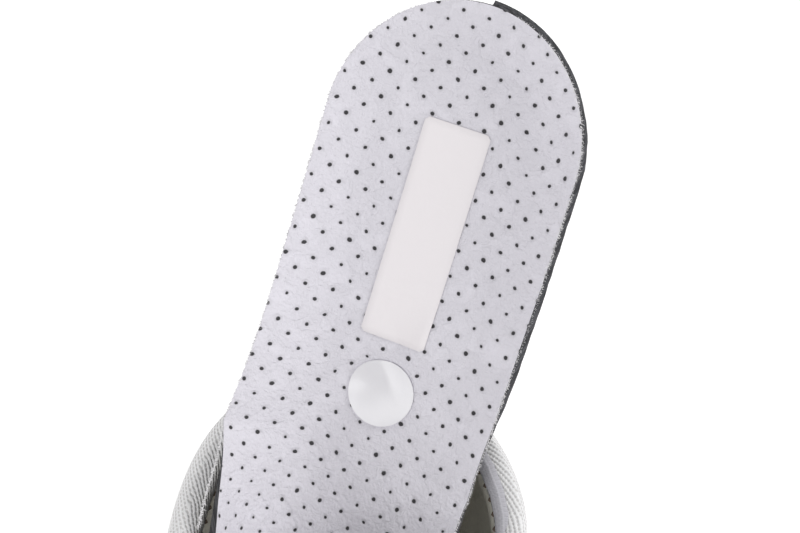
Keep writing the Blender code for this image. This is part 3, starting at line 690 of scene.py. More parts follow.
@dataclass(frozen=True)
class Round:
    """Ring round the shoe, as a stadium of two arcs and two straight runs, for maps and seams."""

    heel: float = -0.004
    toe: float = 0.195
    heel_radius: float = 0.040
    toe_radius: float = 0.046

    def middle(self, x: float) -> float:
        """Side of the shoe's middle line at a length."""
        return 0.0035 * ease(x, 0.0, 0.06) - 0.012 * ease(x, 0.10, 0.23)

    def measure(self, point: Vector, side: float) -> tuple[float, float]:
        """Distance round from the back of the heel, and height less distance from the middle line.

        Args:
            point: The point to measure.
            side: 1 on the outer side and -1 on the inner side.

        Returns:
            The distance round and the height less the distance.
        """
        across = abs(point.y - self.middle(point.x))
        if point.x < self.heel:
            angle = math.atan2(across, self.heel - point.x)
            run, reach = self.heel_radius * angle, math.hypot(across, self.heel - point.x)
        else:
            run, reach = self.heel_radius * math.pi / 2 + point.x - self.heel, across
            if point.x > self.toe:
                angle = math.atan2(point.x - self.toe, across)
                run = self.heel_radius * math.pi / 2 + self.toe - self.heel + self.toe_radius * angle
                reach = math.hypot(across, point.x - self.toe)
        return side * run, point.z - reach

    def spine(self, point: Vector) -> Vector:
        """Point of the middle line inside the shoe, level with the ball of the foot."""
        x = min(max(point.x, self.heel), self.toe)
        return Vector((x, self.middle(x), 0.030 + 0.020 * (1 - ease(x, 0.02, 0.2))))


@dataclass
class SoftCopy:
    """A finer copy of a node: the same form with its facets rounded over."""

    node: str
    levels: int = 2
    crease_over: float = 42.0
    swell: float = 0.0
    ring: Round = field(default_factory=Round)

    def quads(self) -> BMesh:
        """The node's faces as quads where they pair up, with its hard edges creased.

        Returns:
            The mesh, not yet rounded over.
        """
        source = node_object(self.node)
        mesh = bmesh.new()
        mesh.from_mesh(source.data)
        mesh.transform(source.matrix_world)
        bmesh.ops.remove_doubles(mesh, verts=mesh.verts, dist=WELD)
        bmesh.ops.join_triangles(
            mesh, faces=mesh.faces, cmp_seam=False, cmp_sharp=False, cmp_uvs=False, cmp_vcols=False,
            cmp_materials=False, angle_face_threshold=math.radians(40),
            angle_shape_threshold=math.radians(60),
        )
        layer = mesh.edges.layers.float.new("crease_edge")
        for edge in mesh.edges:
            if len(edge.link_faces) == 2 and edge.calc_face_angle(0.0) > math.radians(self.crease_over):
                edge[layer] = CREASE
        return mesh

    def make(self, materials: Sequence[Material], smooth: float = 50.0) -> Object:
        """Builds the copy.

        Args:
            materials: The first is for the outside, a second for faces turned into the shoe.
            smooth: Edges sharper than this stay sharp.

        Returns:
            The object.
        """
        rough = object_from(self.node + "_cage", self.quads(), ())
        rough.modifiers.new("Rounding", "SUBSURF").levels = self.levels
        graph = bpy.context.evaluated_depsgraph_get()
        mesh = bmesh.new()
        mesh.from_mesh(bpy.data.meshes.new_from_object(rough.evaluated_get(graph)))
        bpy.data.objects.remove(rough)
        mesh.normal_update()
        if self.swell:
            for vert in mesh.verts:
                vert.co += vert.normal * self.swell
        self.map(mesh, len(materials) > 1)
        return object_from(self.node + "_soft", mesh, materials, smooth)

    def crest(self) -> Callable[[float], tuple[float, float]]:
        """Where the topline lies at a distance round the shoe, read from the solid upper.

        Returns:
            A function that gives height and distance at a run.
        """
        source = node_object("upper")
        highest: dict[int, tuple[float, float, float]] = {}
        for vert in source.data.vertices:
            point = source.matrix_world @ vert.co
            side = 1.0 if point.y > self.ring.middle(point.x) else -1.0
            run, value = self.ring.measure(point, side)
            key = round(run / 0.010)
            if point.z > highest.get(key, (0.0, 0.0, 0.0))[1]:
                highest[key] = (run, point.z, point.z - value)
        marks = sorted(highest.values())

        def at(run: float) -> tuple[float, float]:
            """Height of the topline and its distance from the middle line.

            Args:
                run: Distance round the shoe.

            Returns:
                The height and the distance.
            """
            for (a, *low), (b, *high) in zip(marks, marks[1:]):
                if run <= b:
                    share = min(max((run - a) / (b - a), 0.0), 1.0)
                    return low[0] + (high[0] - low[0]) * share, low[1] + (high[1] - low[1]) * share
            return marks[-1][1], marks[-1][2]
        return at

    def map(self, mesh: BMesh, inside_own: bool) -> None:
        """Adds the pattern's map, and a map of depth under the topline and of which side faces out.

        Args:
            mesh: The finished mesh.
            inside_own: Whether faces turned into the shoe get the second material.
        """
        pattern, depth = mesh.loops.layers.uv.new("pattern"), mesh.loops.layers.uv.new("depth")
        crest = self.crest()
        for face in mesh.faces:
            centre = face.calc_center_median()
            side = 1.0 if centre.y > self.ring.middle(centre.x) else -1.0
            outside = (centre - self.ring.spine(centre)).dot(face.normal) > 0
            if inside_own and not outside:
                face.material_index = 1
            for loop in face.loops:
                point = loop.vert.co
                run, value = self.ring.measure(point, side)
                top, wide = crest(run)
                reach = point.z - value
                if reach < wide:
                    value = 2 * top - point.z - reach
                loop[pattern].uv = run, value
                loop[depth].uv = (max(top - point.z, 0.0), 1.0 if outside else 0.0)


@dataclass
class Stitching:
    """Rows of thread laid on a surface, each stitch a short spindle."""

    name: str
    length: float = 0.0024
    gap: float = 0.0009
    radius: float = 0.00032
    mesh: BMesh = field(default_factory=bmesh.new)

    def stitch(self, start: Vector, end: Vector, out: Vector) -> None:
        """Adds one stitch that bows over between two points.

        Args:
            start: Where the stitch comes up.
            end: Where it goes down.
            out: Direction out of the surface.
        """
        along = (end - start).normalized()
        across = along.cross(out).normalized()
        rings = []
        for share, size in ((0.0, 0.45), (0.15, 0.9), (0.5, 1.0), (0.85, 0.9), (1.0, 0.45)):
            middle = start.lerp(end, share) + out * self.radius * (1.5 * math.sin(math.pi * share) - 0.55)
            ring = []
            for k in range(6):
                turn = math.tau * k / 6
                ring.append(self.mesh.verts.new(
                    middle + (across * math.cos(turn) + out * math.sin(turn)) * self.radius * size))
            rings.append(ring)
        for low, high in zip(rings, rings[1:]):
            for k in range(6):
                self.mesh.faces.new((low[k], low[(k + 1) % 6], high[(k + 1) % 6], high[k]))
        self.mesh.faces.new(rings[0][::-1])
        self.mesh.faces.new(rings[-1])

    def run(self, path: Marks, keep: Callable[[Vector], bool] = lambda point: True) -> None:
        """Sews along a path.

        Args:
            path: Points with the surface's direction at each.
            keep: Says whether a stitch at a point is made.
        """
        marks, travelled = [], 0.0
        for (here, out), (there, _) in zip(path, path[1:]):
            marks.append((travelled, here, out))
            travelled += (there - here).length
        marks.append((travelled, *path[-1]))

        def at(distance: float) -> tuple[Vector, Vector]:
            """Point and direction at a distance along the path.

            Args:
                distance: Distance along the path.

            Returns:
                The point and the direction.
            """
            for (a, p, n), (b, q, m) in zip(marks, marks[1:]):
                if distance <= b:
                    share = (distance - a) / max(b - a, 1e-9)
                    return p.lerp(q, share), n.lerp(m, share).normalized()
            return marks[-1][1], marks[-1][2]

        step = self.length + self.gap
        for k in range(int(travelled / step)):
            start, out = at(k * step)
            end, _ = at(k * step + self.length)
            if (end - start).length > 0.4 * self.length and keep(start):
                self.stitch(start, end, out)

    def finish(self, material: Material, slot: str) -> Object:
        """Makes the piece and lets it ride on the shoe."""
        return place_piece(object_from(self.name, self.mesh, (material,), 80.0), slot)


@dataclass
class Skin:
    """Reads the shoe's outside and inside surfaces for seams and trims."""

    tree: BVHTree
    ring: Round = field(default_factory=Round)
    reach: float = 0.12
    lowest: float = 0.05
    highest: float = 0.115
    halvings: int = 16

    def around(self, run: float) -> tuple[Vector, Vector]:
        """Middle point and level direction outwards at a distance round the shoe, outer side positive.

        Args:
            run: Distance round the shoe.

        Returns:
            The middle point and the direction.
        """
        side, far = (1.0 if run >= 0 else -1.0), abs(run)
        arc = self.ring.heel_radius * math.pi / 2
        if far < arc:
            angle = far / self.ring.heel_radius
            return (Vector((self.ring.heel, self.ring.middle(self.ring.heel), 0.0)),
                    Vector((-math.cos(angle), side * math.sin(angle), 0.0)))
        x = self.ring.heel + far - arc
        return Vector((x, self.ring.middle(x), 0.0)), Vector((0.0, side, 0.0))

    def hit(self, run: float, height: float, outside: bool) -> tuple[Vector, Vector] | None:
        """Point and normal of the skin at a height, seen from outside or inside the shoe.

        Args:
            run: Distance round the shoe.
            height: Height above the floor.
            outside: Whether it is seen from outside.

        Returns:
            The point and its normal, or None where there is no skin.
        """
        middle, out = self.around(run)
        start = middle + UP * height + (out * self.reach if outside else Vector())
        place, normal, _, _ = self.tree.ray_cast(start, -out if outside else out, self.reach)
        if place is None:
            return None
        toward = out if outside else -out
        return place, normal if normal.dot(toward) > 0 else -normal

    def top(self, run: float) -> float:
        """Height of the topline at a distance round the shoe.

        Args:
            run: Distance round the shoe.

        Returns:
            The height.
        """
        low, high = self.lowest, self.highest
        for _ in range(self.halvings):
            middle = (low + high) / 2
            if self.hit(run, middle, True):
                low = middle
            else:
                high = middle
        return low

    def line(self, start: float, end: float, under: float, outside: bool,
             step: float = 0.004) -> Marks:
        """A line that follows the topline at a depth under it.

        Args:
            start: Distance round the shoe where the line starts.
            end: Where it ends.
            under: How far under the topline it runs.
            outside: Whether it lies on the outside.
            step: Distance between its points.

        Returns:
            Points and surface directions.
        """
        made = []
        count = max(int(abs(end - start) / step), 2)
        for k in range(count + 1):
            run = start + (end - start) * k / count
            found = self.hit(run, self.top(run) - under, outside)
            if found:
                made.append(found)
        return made


@dataclass
class EdgeSeam:
    """Finds lines that follow the edges of an overlay, a set way in from them."""

    node: str
    inset: float = 0.0024
    facing: float = 0.45
    shortest: float = 0.04
    ring: Round = field(default_factory=Round)

    def loops(self) -> list[Marks]:
        """Points and directions in from the edge, for each edge loop of the overlay's outer face.

        Returns:
            One list for each edge loop.
        """
        mesh = SoftCopy(self.node).quads()
        mesh.normal_update()
        top = set()
        for face in mesh.faces:
            centre = face.calc_center_median()
            if (centre - self.ring.spine(centre)).normalized().dot(face.normal) > self.facing:
                top.add(face)
        border = {}
        for face in top:
            for loop in face.loops:
                if not any(other in top for other in loop.edge.link_faces if other is not face):
                    border[loop.vert] = (loop.link_loop_next.vert, face)
        made = []
        while border:
            vert = next(iter(border))
            path = []
            while vert in border:
                following, face = border.pop(vert)
                path.append((vert.co.copy(), face.normal.copy()))
                vert = following
            if sum((b[0] - a[0]).length for a, b in zip(path, path[1:])) > self.shortest:
                made.append(path + path[:1])
        mesh.free()
        return made

    def paths(self, skin: BVHTree) -> list[Marks]:
        """The seam lines, laid on the finished surface.

        Args:
            skin: The finished overlay.

        Returns:
            One line for each edge loop.
        """
        made = []
        for loop in self.loops():
            line = []
            for k, (point, normal) in enumerate(loop):
                back, fore = loop[max(k - 1, 0)][0], loop[min(k + 1, len(loop) - 1)][0]
                inward = normal.cross(fore - back)
                if inward.length < 1e-9:
                    continue
                target = point + inward.normalized() * self.inset
                place, out, _, _ = skin.find_nearest(target)
                line.append((place, out if out.dot(normal) > 0 else -out))
            made.append(line)
        return made


@dataclass(frozen=True)
class Bed:
    """One section of the insole: half widths as shares of its ball, and how it lies and stands up."""

    share: float
    inner: float
    outer: float
    slope: float
    roll: float
    keep: float
    cup: float
    arch: float
    spread: float
    yaw: float


@dataclass(frozen=True)
class Fold:
    """Soft fold in the insole's cover, from one point to another, in metres along it and across it."""

    along: tuple[float, float]
    across: tuple[float, float]
    width: float
    depth: float

    def sink(self, length: float, y: float) -> float:
        """How far the fold takes the cover down at a point.

        Args:
            length: Distance along the insole.
            y: Distance across it.

        Returns:
            The depth at the point.
        """
        run = Vector((self.along[1] - self.along[0], self.across[1] - self.across[0]))
        here = Vector((length - self.along[0], y - self.across[0]))
        share = min(max(here.dot(run) / run.length_squared, 0.0), 1.0)
        away = (here - run * share).length
        taper = math.sin(math.pi * min(max(share, 0.12), 0.88)) if 0.0 < share < 1.0 else 0.4
        return self.depth * taper * math.exp(-((away / self.width) ** 2))


@dataclass
class Insole:
    """Moulded insole with its cover, foam, size patch and round sticker."""

    length: float = 0.262
    ball: float = 0.088
    thick: float = 0.0045
    rim: float = 0.0030
    heel_round: float = 0.036
    toe_round: float = 0.060
    cup_height: float = 0.0085
    cup_width: float = 0.013
    arch_height: float = 0.0095
    arch_width: float = 0.024
    slope_scale: float = 0.91544
    crossing: float = 0.092
    crest: Vector = field(default_factory=lambda: Vector((-0.035, -0.0155, 0.1003)))
    clear: float = 0.0010
    ease_in: float = 0.0140
    inside_from: float = 0.58
    ragged: float = 0.00014
    fibres: int = 5200
    fibres_until: float = 0.60
    steps: int = 131
    around: int = 150
    across: int = 56
    table: tuple[Bed, ...] = (
        Bed(0.00, 0.392, 0.392, 33.0, 14.0, 1.000, 1.00, 0.00, 0.55, 13.0),
        Bed(0.12, 0.392, 0.392, 35.0, 14.0, 1.000, 1.00, 0.10, 0.55, 13.0),
        Bed(0.25, 0.386, 0.388, 36.5, 14.0, 1.000, 0.75, 0.45, 0.65, 13.0),
        Bed(0.38, 0.382, 0.376, 37.0, 14.0, 1.000, 0.45, 0.95, 0.85, 13.0),
        Bed(0.48, 0.405, 0.368, 37.0, 12.0, 1.000, 0.30, 1.00, 1.00, 12.0),
        Bed(0.56, 0.435, 0.395, 36.5, 9.0, 0.940, 0.20, 0.60, 0.90, 7.0),
        Bed(0.62, 0.462, 0.435, 34.0, 6.0, 0.800, 0.15, 0.30, 0.80, 2.0),
        Bed(0.70, 0.490, 0.495, 28.0, 2.0, 0.640, 0.05, 0.00, 0.60, -2.0),
        Bed(0.80, 0.494, 0.462, 22.0, 0.0, 0.660, 0.00, 0.00, 0.60, -3.0),
        Bed(0.90, 0.440, 0.370, 17.0, 0.0, 0.820, 0.00, 0.00, 0.60, -2.0),
        Bed(1.00, 0.360, 0.260, 14.0, 0.0, 0.940, 0.00, 0.00, 0.60, 0.0),
    )
    folds: tuple[Fold, ...] = (
        Fold((0.0755, 0.098), (0.034, 0.000), 0.0075, -0.0020),
        Fold((0.100, 0.1106), (0.002, -0.0105), 0.0060, 0.0016),
        Fold((0.1106, 0.150), (-0.011, -0.0095), 0.0075, 0.0017),
        Fold((0.1483, 0.1137), (-0.002, 0.034), 0.0075, -0.0020),
        Fold((0.034, 0.089), (-0.030, -0.027), 0.0022, 0.0006),
    )

    def __post_init__(self) -> None:
        """Lays out the spine."""
        step = self.length / (self.steps - 1)
        path = [Vector((0.0, 0.0, 0.0))]
        for k in range(self.steps - 1):
            path.append(path[-1] + self.heading((k + 0.5) / (self.steps - 1)) * step)
        shift = self.crest - path[round(self.crossing / self.length * (self.steps - 1))]
        self.spine = [shift + point for point in path]

    def read(self, share: float, column: str) -> float:
        """A column of the table at a share of the length."""
        shares, values = zip(*((row.share, getattr(row, column)) for row in self.table))
        return smooth_value(shares, values, share)

    def heading(self, share: float) -> Vector:
        """Direction along the spine.

        Args:
            share: Share of the length.

        Returns:
            The direction.
        """
        pitch = math.radians(self.read(share, "slope")) * self.slope_scale
        yaw = math.radians(self.read(share, "yaw"))
        return Vector((math.cos(pitch) * math.cos(yaw), math.cos(pitch) * math.sin(yaw), -math.sin(pitch)))

    def axes(self, share: float) -> tuple[Vector, Vector, Vector]:
        """Spine point, direction across and direction up.

        Args:
            share: Share of the length.

        Returns:
            The point and the two directions.
        """
        place = share * (self.steps - 1)
        k = min(int(place), self.steps - 2)
        point = self.spine[k].lerp(self.spine[k + 1], place - k)
        along = self.heading(share)
        across = UP.cross(along).normalized()
        up = along.cross(across)
        roll = math.radians(self.read(share, "roll"))
        cosine, sine = math.cos(roll), math.sin(roll)
        return point, across * cosine + up * sine, up * cosine - across * sine

    def ends(self, share: float) -> float:
        """Share of the full width that the round heel and toe leave."""
        along = share * self.length
        return rounded(along, self.heel_round) * rounded(self.length - along, self.toe_round)

    def halves(self, share: float) -> tuple[float, float]:
        """Half widths to the inner and the outer side, without the round ends."""
        return self.ball * self.read(share, "inner"), self.ball * self.read(share, "outer")

    def side(self, share: float, t: float) -> float:
        """Distance across from the spine at a share t of the half width."""
        inner, outer = self.halves(share)
        return ((outer - inner) / 2 + t * (inner + outer) / 2) * self.ends(share)

    def lift(self, share: float, y: float) -> float:
        """Height of the cup and the arch above the flat of the insole.

        Args:
            share: Share of the length.
            y: Distance across from the spine.

        Returns:
            The height.
        """
        inner, outer = self.halves(share)
        body = outer if y > 0 else inner
        ahead = max(1 - share * self.length / self.heel_round, 0.0)
        edge = (1 - math.hypot(ahead, y / body)) * body
        wall = max(1 - edge / self.cup_width, 0.0)
        cup = self.cup_height * self.read(share, "cup") * wall * wall / (wall + 0.08) * 1.08
        cup *= 0.30 + 0.70 * ease(y / body, -0.6, 0.4)
        spread = self.arch_width * self.read(share, "spread")
        reach = ease(1 - (inner + y) / spread, 0.0, 1.25)
        arch = self.arch_height * self.read(share, "arch") * reach * 1.15
        return max(cup, 0.0) + max(arch, 0.0)

    def section(self, share: float) -> Callable[[float, float], Vector]:
        """A function that gives the point of one section at a distance across and below the cover.

        Args:
            share: Share of the length.

        Returns:
            The function.
        """
        point, across, up = self.axes(share)
        half = self.ball * (self.read(share, "inner") + self.read(share, "outer")) / 2
        keep = min(self.read(share, "keep"), 0.9995)
        low, high = 0.0, math.pi / 2
        for _ in range(30):
            angle = (low + high) / 2
            low, high = (angle, high) if math.sin(angle) / angle > keep else (low, angle)
        radius = half / low

        def at(y: float, below: float) -> Vector:
            """Point at a distance across the section and below its cover.

            Args:
                y: Distance across the section.
                below: Depth below the cover.

            Returns:
                The point.
            """
            raised = self.lift(share, y) - below
            angle = y / radius
            return (point + across * (radius - raised) * math.sin(angle)
                    + up * (radius - (radius - raised) * math.cos(angle)))
        return at

    def thickness(self, share: float, t: float) -> float:
        """Thickness, which falls off to the rim."""
        edge = max(abs(t), 1 - self.ends(share))
        return self.thick + (self.rim - self.thick) * ease(edge, 0.6, 1.0)

    def shares(self) -> list[float]:
        """Sections along the insole, closer at both ends."""
        return [(1 - math.cos(math.pi * k / self.around)) / 2 for k in range(self.around + 1)]

    def flare(self, share: float, t: float) -> tuple[float, float]:
        """How far the cut foam stands out past the cover, to the outer side and past the heel.

        Args:
            share: Share of the length.
            t: Share of the half width.

        Returns:
            The distance to the outer side and the distance past the heel.
        """
        side = 0.0012 * ease(share, 0.0, 0.12) * (1 - ease(share, 0.34, 0.44)) * ease(t, 0.50, 1.0)
        back = 0.0013 * (1 - ease(share, 0.0, 0.09)) * ease(t, -0.35, 0.3)
        return side, back

    def sink(self, along: float, y: float) -> float:
        """How far the folds take the cover down at a point."""
        return sum(fold.sink(along, y) for fold in self.folds)

    def squeeze(self, lines: list[list[Vector]], middles: list[Vector], wall: BVHTree,
                side: float) -> None:
        """Draws in one side of the hidden sections until they clear the wall of the shoe.

        Args:
            lines: Points of each section.
            middles: Spine point of each section.
            wall: Faces that look into the shoe.
            side: 1 for the outer side and -1 for the inner side.
        """
        kept = []
        for place, line, middle in zip(self.shares(), lines, middles):
            share = 1.0
            for point in line[::4] if place > self.inside_from else ():
                reach = side * (point.y - middle.y)
                if reach < self.thick:
                    continue
                for drop in (0.0, self.thick):
                    start = Vector((point.x, middle.y, point.z - drop))
                    _, normal, _, hit = wall.ray_cast(start, Vector((0.0, side, 0.0)))
                    if hit is not None and normal.y * side < 0:
                        share = min(share, (hit - self.clear) / reach)
            kept.append(share)
        for k, (line, middle) in enumerate(zip(lines, middles)):
            share = min(other + self.ease_in * max(abs(k - i) - 2, 0) for i, other in enumerate(kept))
            for point in line:
                if side * (point.y - middle.y) > 0:
                    point.y = middle.y + (point.y - middle.y) * share

    def build(self, cover: Material, foam: Material) -> Object:
        """Builds the insole.

        Args:
            cover: Finish of the top.
            foam: Finish of the side and the underside.

        Returns:
            The piece.
        """
        shares = self.shares()
        steps = [math.sin(math.pi / 2 * (2 * k / self.across - 1)) for k in range(self.across + 1)]
        rough = random.Random(7)
        tops, lows, maps, middles = [], [], [], []
        for share in shares:
            at = self.section(share)
            along = share * self.length
            top, low, flat = [], [], []
            for t in steps:
                y = self.side(share, t)
                top.append(at(y, self.sink(along, y)))
                side, back = self.flare(share, t)
                ragged = self.ragged * rough.uniform(-1, 1) * ease(abs(t), 0.7, 1.0)
                low.append(at(y + side + ragged, self.thickness(share, t)) - self.heading(share) * back)
                flat.append((y, along))
            tops.append(top)
            lows.append(low)
            maps.append(flat)
            middles.append(self.axes(share)[0])
        wall = inner_tree()
        for side in (1.0, -1.0):
            both = [top + low for top, low in zip(tops, lows)]
            self.squeeze(both, middles, wall, side)
        mesh = bmesh.new()
        pattern = mesh.loops.layers.uv.new("pattern")
        grids = [[[mesh.verts.new(point) for point in line] for line in grid] for grid in (tops, lows)]

        def quad(corners: Sequence[tuple[int, int, int]], slot: int) -> None:
            """One face through grid corners given as layer, section and step.

            Args:
                corners: Layer, section and step of each corner.
                slot: Number of the material.
            """
            face = mesh.faces.new([grids[layer][k][i] for layer, k, i in corners])
            face.material_index = slot
            for loop, (layer, k, i) in zip(face.loops, corners):
                y, along = maps[k][i]
                loop[pattern].uv = (y, along + (0.004 if layer else 0.0))

        last, edge = len(shares) - 1, len(steps) - 1
        for k in range(last):
            for i in range(edge):
                quad(((0, k, i), (0, k + 1, i), (0, k + 1, i + 1), (0, k, i + 1)), 0)
                quad(((1, k, i), (1, k, i + 1), (1, k + 1, i + 1), (1, k + 1, i)), 1)
            quad(((0, k, 0), (1, k, 0), (1, k + 1, 0), (0, k + 1, 0)), 1)
            quad(((0, k, edge), (0, k + 1, edge), (1, k + 1, edge), (1, k, edge)), 1)
        bmesh.ops.remove_doubles(mesh, verts=mesh.verts, dist=1e-6)
        bmesh.ops.recalc_face_normals(mesh, faces=mesh.faces)
        insole = object_from("insole_cover", mesh, (cover, foam), 40.0)
        return place_piece(insole, "insole", "insole")

    def laid(self, along: float, y: float, lift: float) -> Vector:
        """Point over the cover at a distance along the insole and across it."""
        return self.section(along / self.length)(y, self.sink(along, y) - lift)

    def patch(self, finish: Material) -> Object:
        """Smooth rectangle with round corners on the heel.

        Args:
            finish: Finish of the patch.

        Returns:
            The piece.
        """
        start, length, half, corner, thick = 0.0325, 0.060, 0.009, 0.0010, 0.0005
        mesh = bmesh.new()
        rows = []
        count, wide = 60, 18
        for k in range(count + 1):
            at = length * k / count
            end = min(at, length - at)
            shrink = corner - math.sqrt(max(corner**2 - max(corner - end, 0.0) ** 2, 0.0))
            line = []
            for i in range(wide + 1):
                y = (half - shrink) * (2 * i / wide - 1)
                rim = min(end, (half - shrink) - abs(y))
                up = thick * min(1.0, 0.4 + rim / 0.0004) + 0.0001
                line.append((mesh.verts.new(self.laid(start + at, y, up)), (y, at)))
            rows.append(line)
        face_rows(mesh, rows)
        return place_piece(self.sheet("insole_label_patch", mesh, finish), "patch", "insole_patch")

    def sticker(self, finish: Material) -> Object:
        """Bare round paper sticker in front of the patch, one edge of it a little lifted.

        Args:
            finish: Finish of the sticker.

        Returns:
            The piece.
        """
        middle, side, radius, rounds, around = 0.1070, 0.0012, 0.0090, 10, 56
        mesh = bmesh.new()
        rings = []
        for k in range(rounds + 1):
            reach, ring = radius * k / rounds, []
            for i in range(around if k else 1):
                turn = math.tau * i / around
                along, y = middle + reach * math.cos(turn), side + reach * math.sin(turn)
                curl = 0.0006 * max(math.cos(turn - 0.6), 0.0) ** 3 * (k / rounds) ** 4
                ring.append((mesh.verts.new(self.laid(along, y, 0.0005 + curl)), (y, along)))
            rings.append(ring)
        face_rows(mesh, rings, closed=True)
        return place_piece(self.sheet("insole_sticker", mesh, finish), "patch")

    @staticmethod
    def sheet(name: str, mesh: BMesh, finish: Material) -> Object:
        """Makes a thin sheet that faces up.

        Args:
            name: The piece's name.
            mesh: The finished mesh.
            finish: Finish of the sheet.

        Returns:
            The object.
        """
        bmesh.ops.recalc_face_normals(mesh, faces=mesh.faces)
        piece = object_from(name, mesh, (finish,), 60.0)
        if sum(face.normal.z for face in piece.data.polygons) < 0:
            piece.data.flip_normals()
        return piece

    def fringe(self, material: Material) -> Object:
        """Cut fibres that stand out of the cover's edge.

        Args:
            material: Finish of the fibres.

        Returns:
            The piece.
        """
        mesh = bmesh.new()
        chance = random.Random(11)
        for _ in range(self.fibres):
            share = chance.uniform(0.002, self.fibres_until)
            t = chance.choice((-1.0, 1.0, 1.0))
            at = self.section(share)
            y = self.side(share, t)
            start = at(y * 0.997, chance.uniform(-0.0001, 0.0009))
            end = at(y * (1 + chance.uniform(-0.010, 0.014)), chance.uniform(-0.0009, 0.0006))
            end += Vector([chance.uniform(-0.0006, 0.0006) for _ in range(3)])
            along = (end - start).normalized()
            wide = along.cross(UP).normalized() * chance.uniform(0.00008, 0.00017)
            mesh.faces.new([mesh.verts.new(p) for p in (start - wide, start + wide, end)])
        return place_piece(object_from("insole_edge_fibres", mesh, (material,), None), "insole")


@dataclass
class Lacing:
    """Flat lace that crosses the tongue between six pairs of holes."""

    outer: tuple[tuple[float, float, float], ...] = (
        (0.0714, 0.0336, 0.0978), (0.0827, 0.0327, 0.0941), (0.0952, 0.0314, 0.0894),
        (0.1081, 0.0297, 0.0839), (0.1206, 0.0276, 0.0780), (0.1328, 0.0249, 0.0729),
    )
    inner: tuple[tuple[float, float, float], ...] = (
        (0.0715, -0.0263, 0.0978), (0.0828, -0.0232, 0.0941), (0.0953, -0.0208, 0.0894),
        (0.1081, -0.0191, 0.0839), (0.1203, -0.0178, 0.0780), (0.1322, -0.0165, 0.0729),
    )
    width: float = 0.0072
    thick: float = 0.0014
    steps: int = 40
    over: float = 0.0008
    hole_rise: float = 0.0006
    settling: int = 160
    face: Vector = field(default_factory=lambda: Vector((0.33, 0.0, 0.944)))

    def surface(self, skin: BVHTree, point: Vector) -> tuple[float, Vector]:
        """Height and direction of what lies under a point."""
        place, normal, _, _ = skin.ray_cast(point + UP * 0.03, -UP, 0.08)
        return (place.z, normal) if place else (point.z, UP.copy())

    def route(self, skin: BVHTree, start: Vector, end: Vector, raised: float) -> Strap:
        """Middle line of one strap, with the direction it faces and its width.

        Args:
            skin: What the lace lies on.
            start: Hole where it comes up.
            end: Hole where it goes down.
            raised: How far it stands off at its middle, to pass over another strap.

        Returns:
            Points with their upward directions and widths.
        """
        run = (end - start).normalized()
        across = run.cross(UP).normalized() * self.width * 0.45
        heights, points = [], []
        for k in range(self.steps + 1):
            point = start.lerp(end, k / self.steps)
            found = [self.surface(skin, point + across * s) for s in (-1.0, 0.0, 1.0)]
            heights.append(max(f[0] for f in found) + self.over)
            points.append(point)
        heights[0], heights[-1] = start.z + self.hole_rise, end.z + self.hole_rise
        for _ in range(self.settling):
            for k in range(1, self.steps):
                heights[k] = max(heights[k], (heights[k - 1] + heights[k + 1]) / 2)
        made = []
        for k, (point, height) in enumerate(zip(points, heights)):
            share = k / self.steps
            hump = raised * math.exp(-(((share - 0.5) / 0.14) ** 2))
            made.append(Vector((point.x, point.y, height + hump)))
        full = []
        for k, point in enumerate(made):
            along = (made[min(k + 1, self.steps)] - made[max(k - 1, 0)]).normalized()
            up = (self.face - along * self.face.dot(along)).normalized()
            end_share = min(k, self.steps - k) / self.steps
            full.append((point, up, self.width * (0.52 + 0.48 * ease(end_share, 0.0, 0.14))))
        for at, other, first in ((0, 1, True), (-1, -2, False)):
            point, up, _ = full[at]
            away = (point - full[other][0]).normalized()
            tail = [(point + away * 0.0006 - up * 0.0012, (up + away * 0.8).normalized(),
                     self.width * 0.46),
                    (point + away * 0.0009 - up * 0.0036, (up * 0.4 + away).normalized(),
                     self.width * 0.42)]
            full = tail[::-1] + full if first else full + tail
        return full

    def ribbon(self, mesh: BMesh, route: Strap) -> None:
        """Skins one strap as a flat tube with round edges.

        Args:
            mesh: The mesh that the strap goes into.
            route: The middle line of the strap.
        """
        rings, travelled, around = [], 0.0, 16
        for k, (point, up, width) in enumerate(route):
            ahead = route[min(k + 1, len(route) - 1)][0] - route[max(k - 1, 0)][0]
            side = ahead.cross(up).normalized()
            if k:
                travelled += (point - route[k - 1][0]).length
            ring = []
            for i in range(around):
                turn = math.tau * i / around
                x = math.copysign(abs(math.cos(turn)) ** 0.35, math.cos(turn)) * width / 2
                y = math.copysign(abs(math.sin(turn)) ** 0.8, math.sin(turn)) * self.thick / 2
                place = point + side * x + up * (y + self.thick / 2)
                ring.append((mesh.verts.new(place), (x + 0.02, travelled)))
            rings.append(ring)
        face_rows(mesh, rings, closed=True)
        for ring in (rings[0], rings[-1]):
            mesh.faces.new([vert for vert, _ in ring])

    def build(self, material: Material, skin: BVHTree) -> Object:
        """Builds every strap as one piece.

        Args:
            material: Finish of the lace.
            skin: What the lace lies on.

        Returns:
            The piece.
        """
        mesh = bmesh.new()
        outer, inner = [Vector(p) for p in self.outer], [Vector(p) for p in self.inner]
        last = len(outer) - 1
        self.ribbon(mesh, self.route(skin, outer[last], inner[last], 0.0))
        for k in range(last, 0, -1):
            self.ribbon(mesh, self.route(skin, outer[k], inner[k - 1], 0.0))
            self.ribbon(mesh, self.route(skin, inner[k], outer[k - 1], 0.0021))
        bmesh.ops.recalc_face_normals(mesh, faces=mesh.faces)
        return place_piece(object_from("lace", mesh, (material,), 60.0), "laces", "laces")


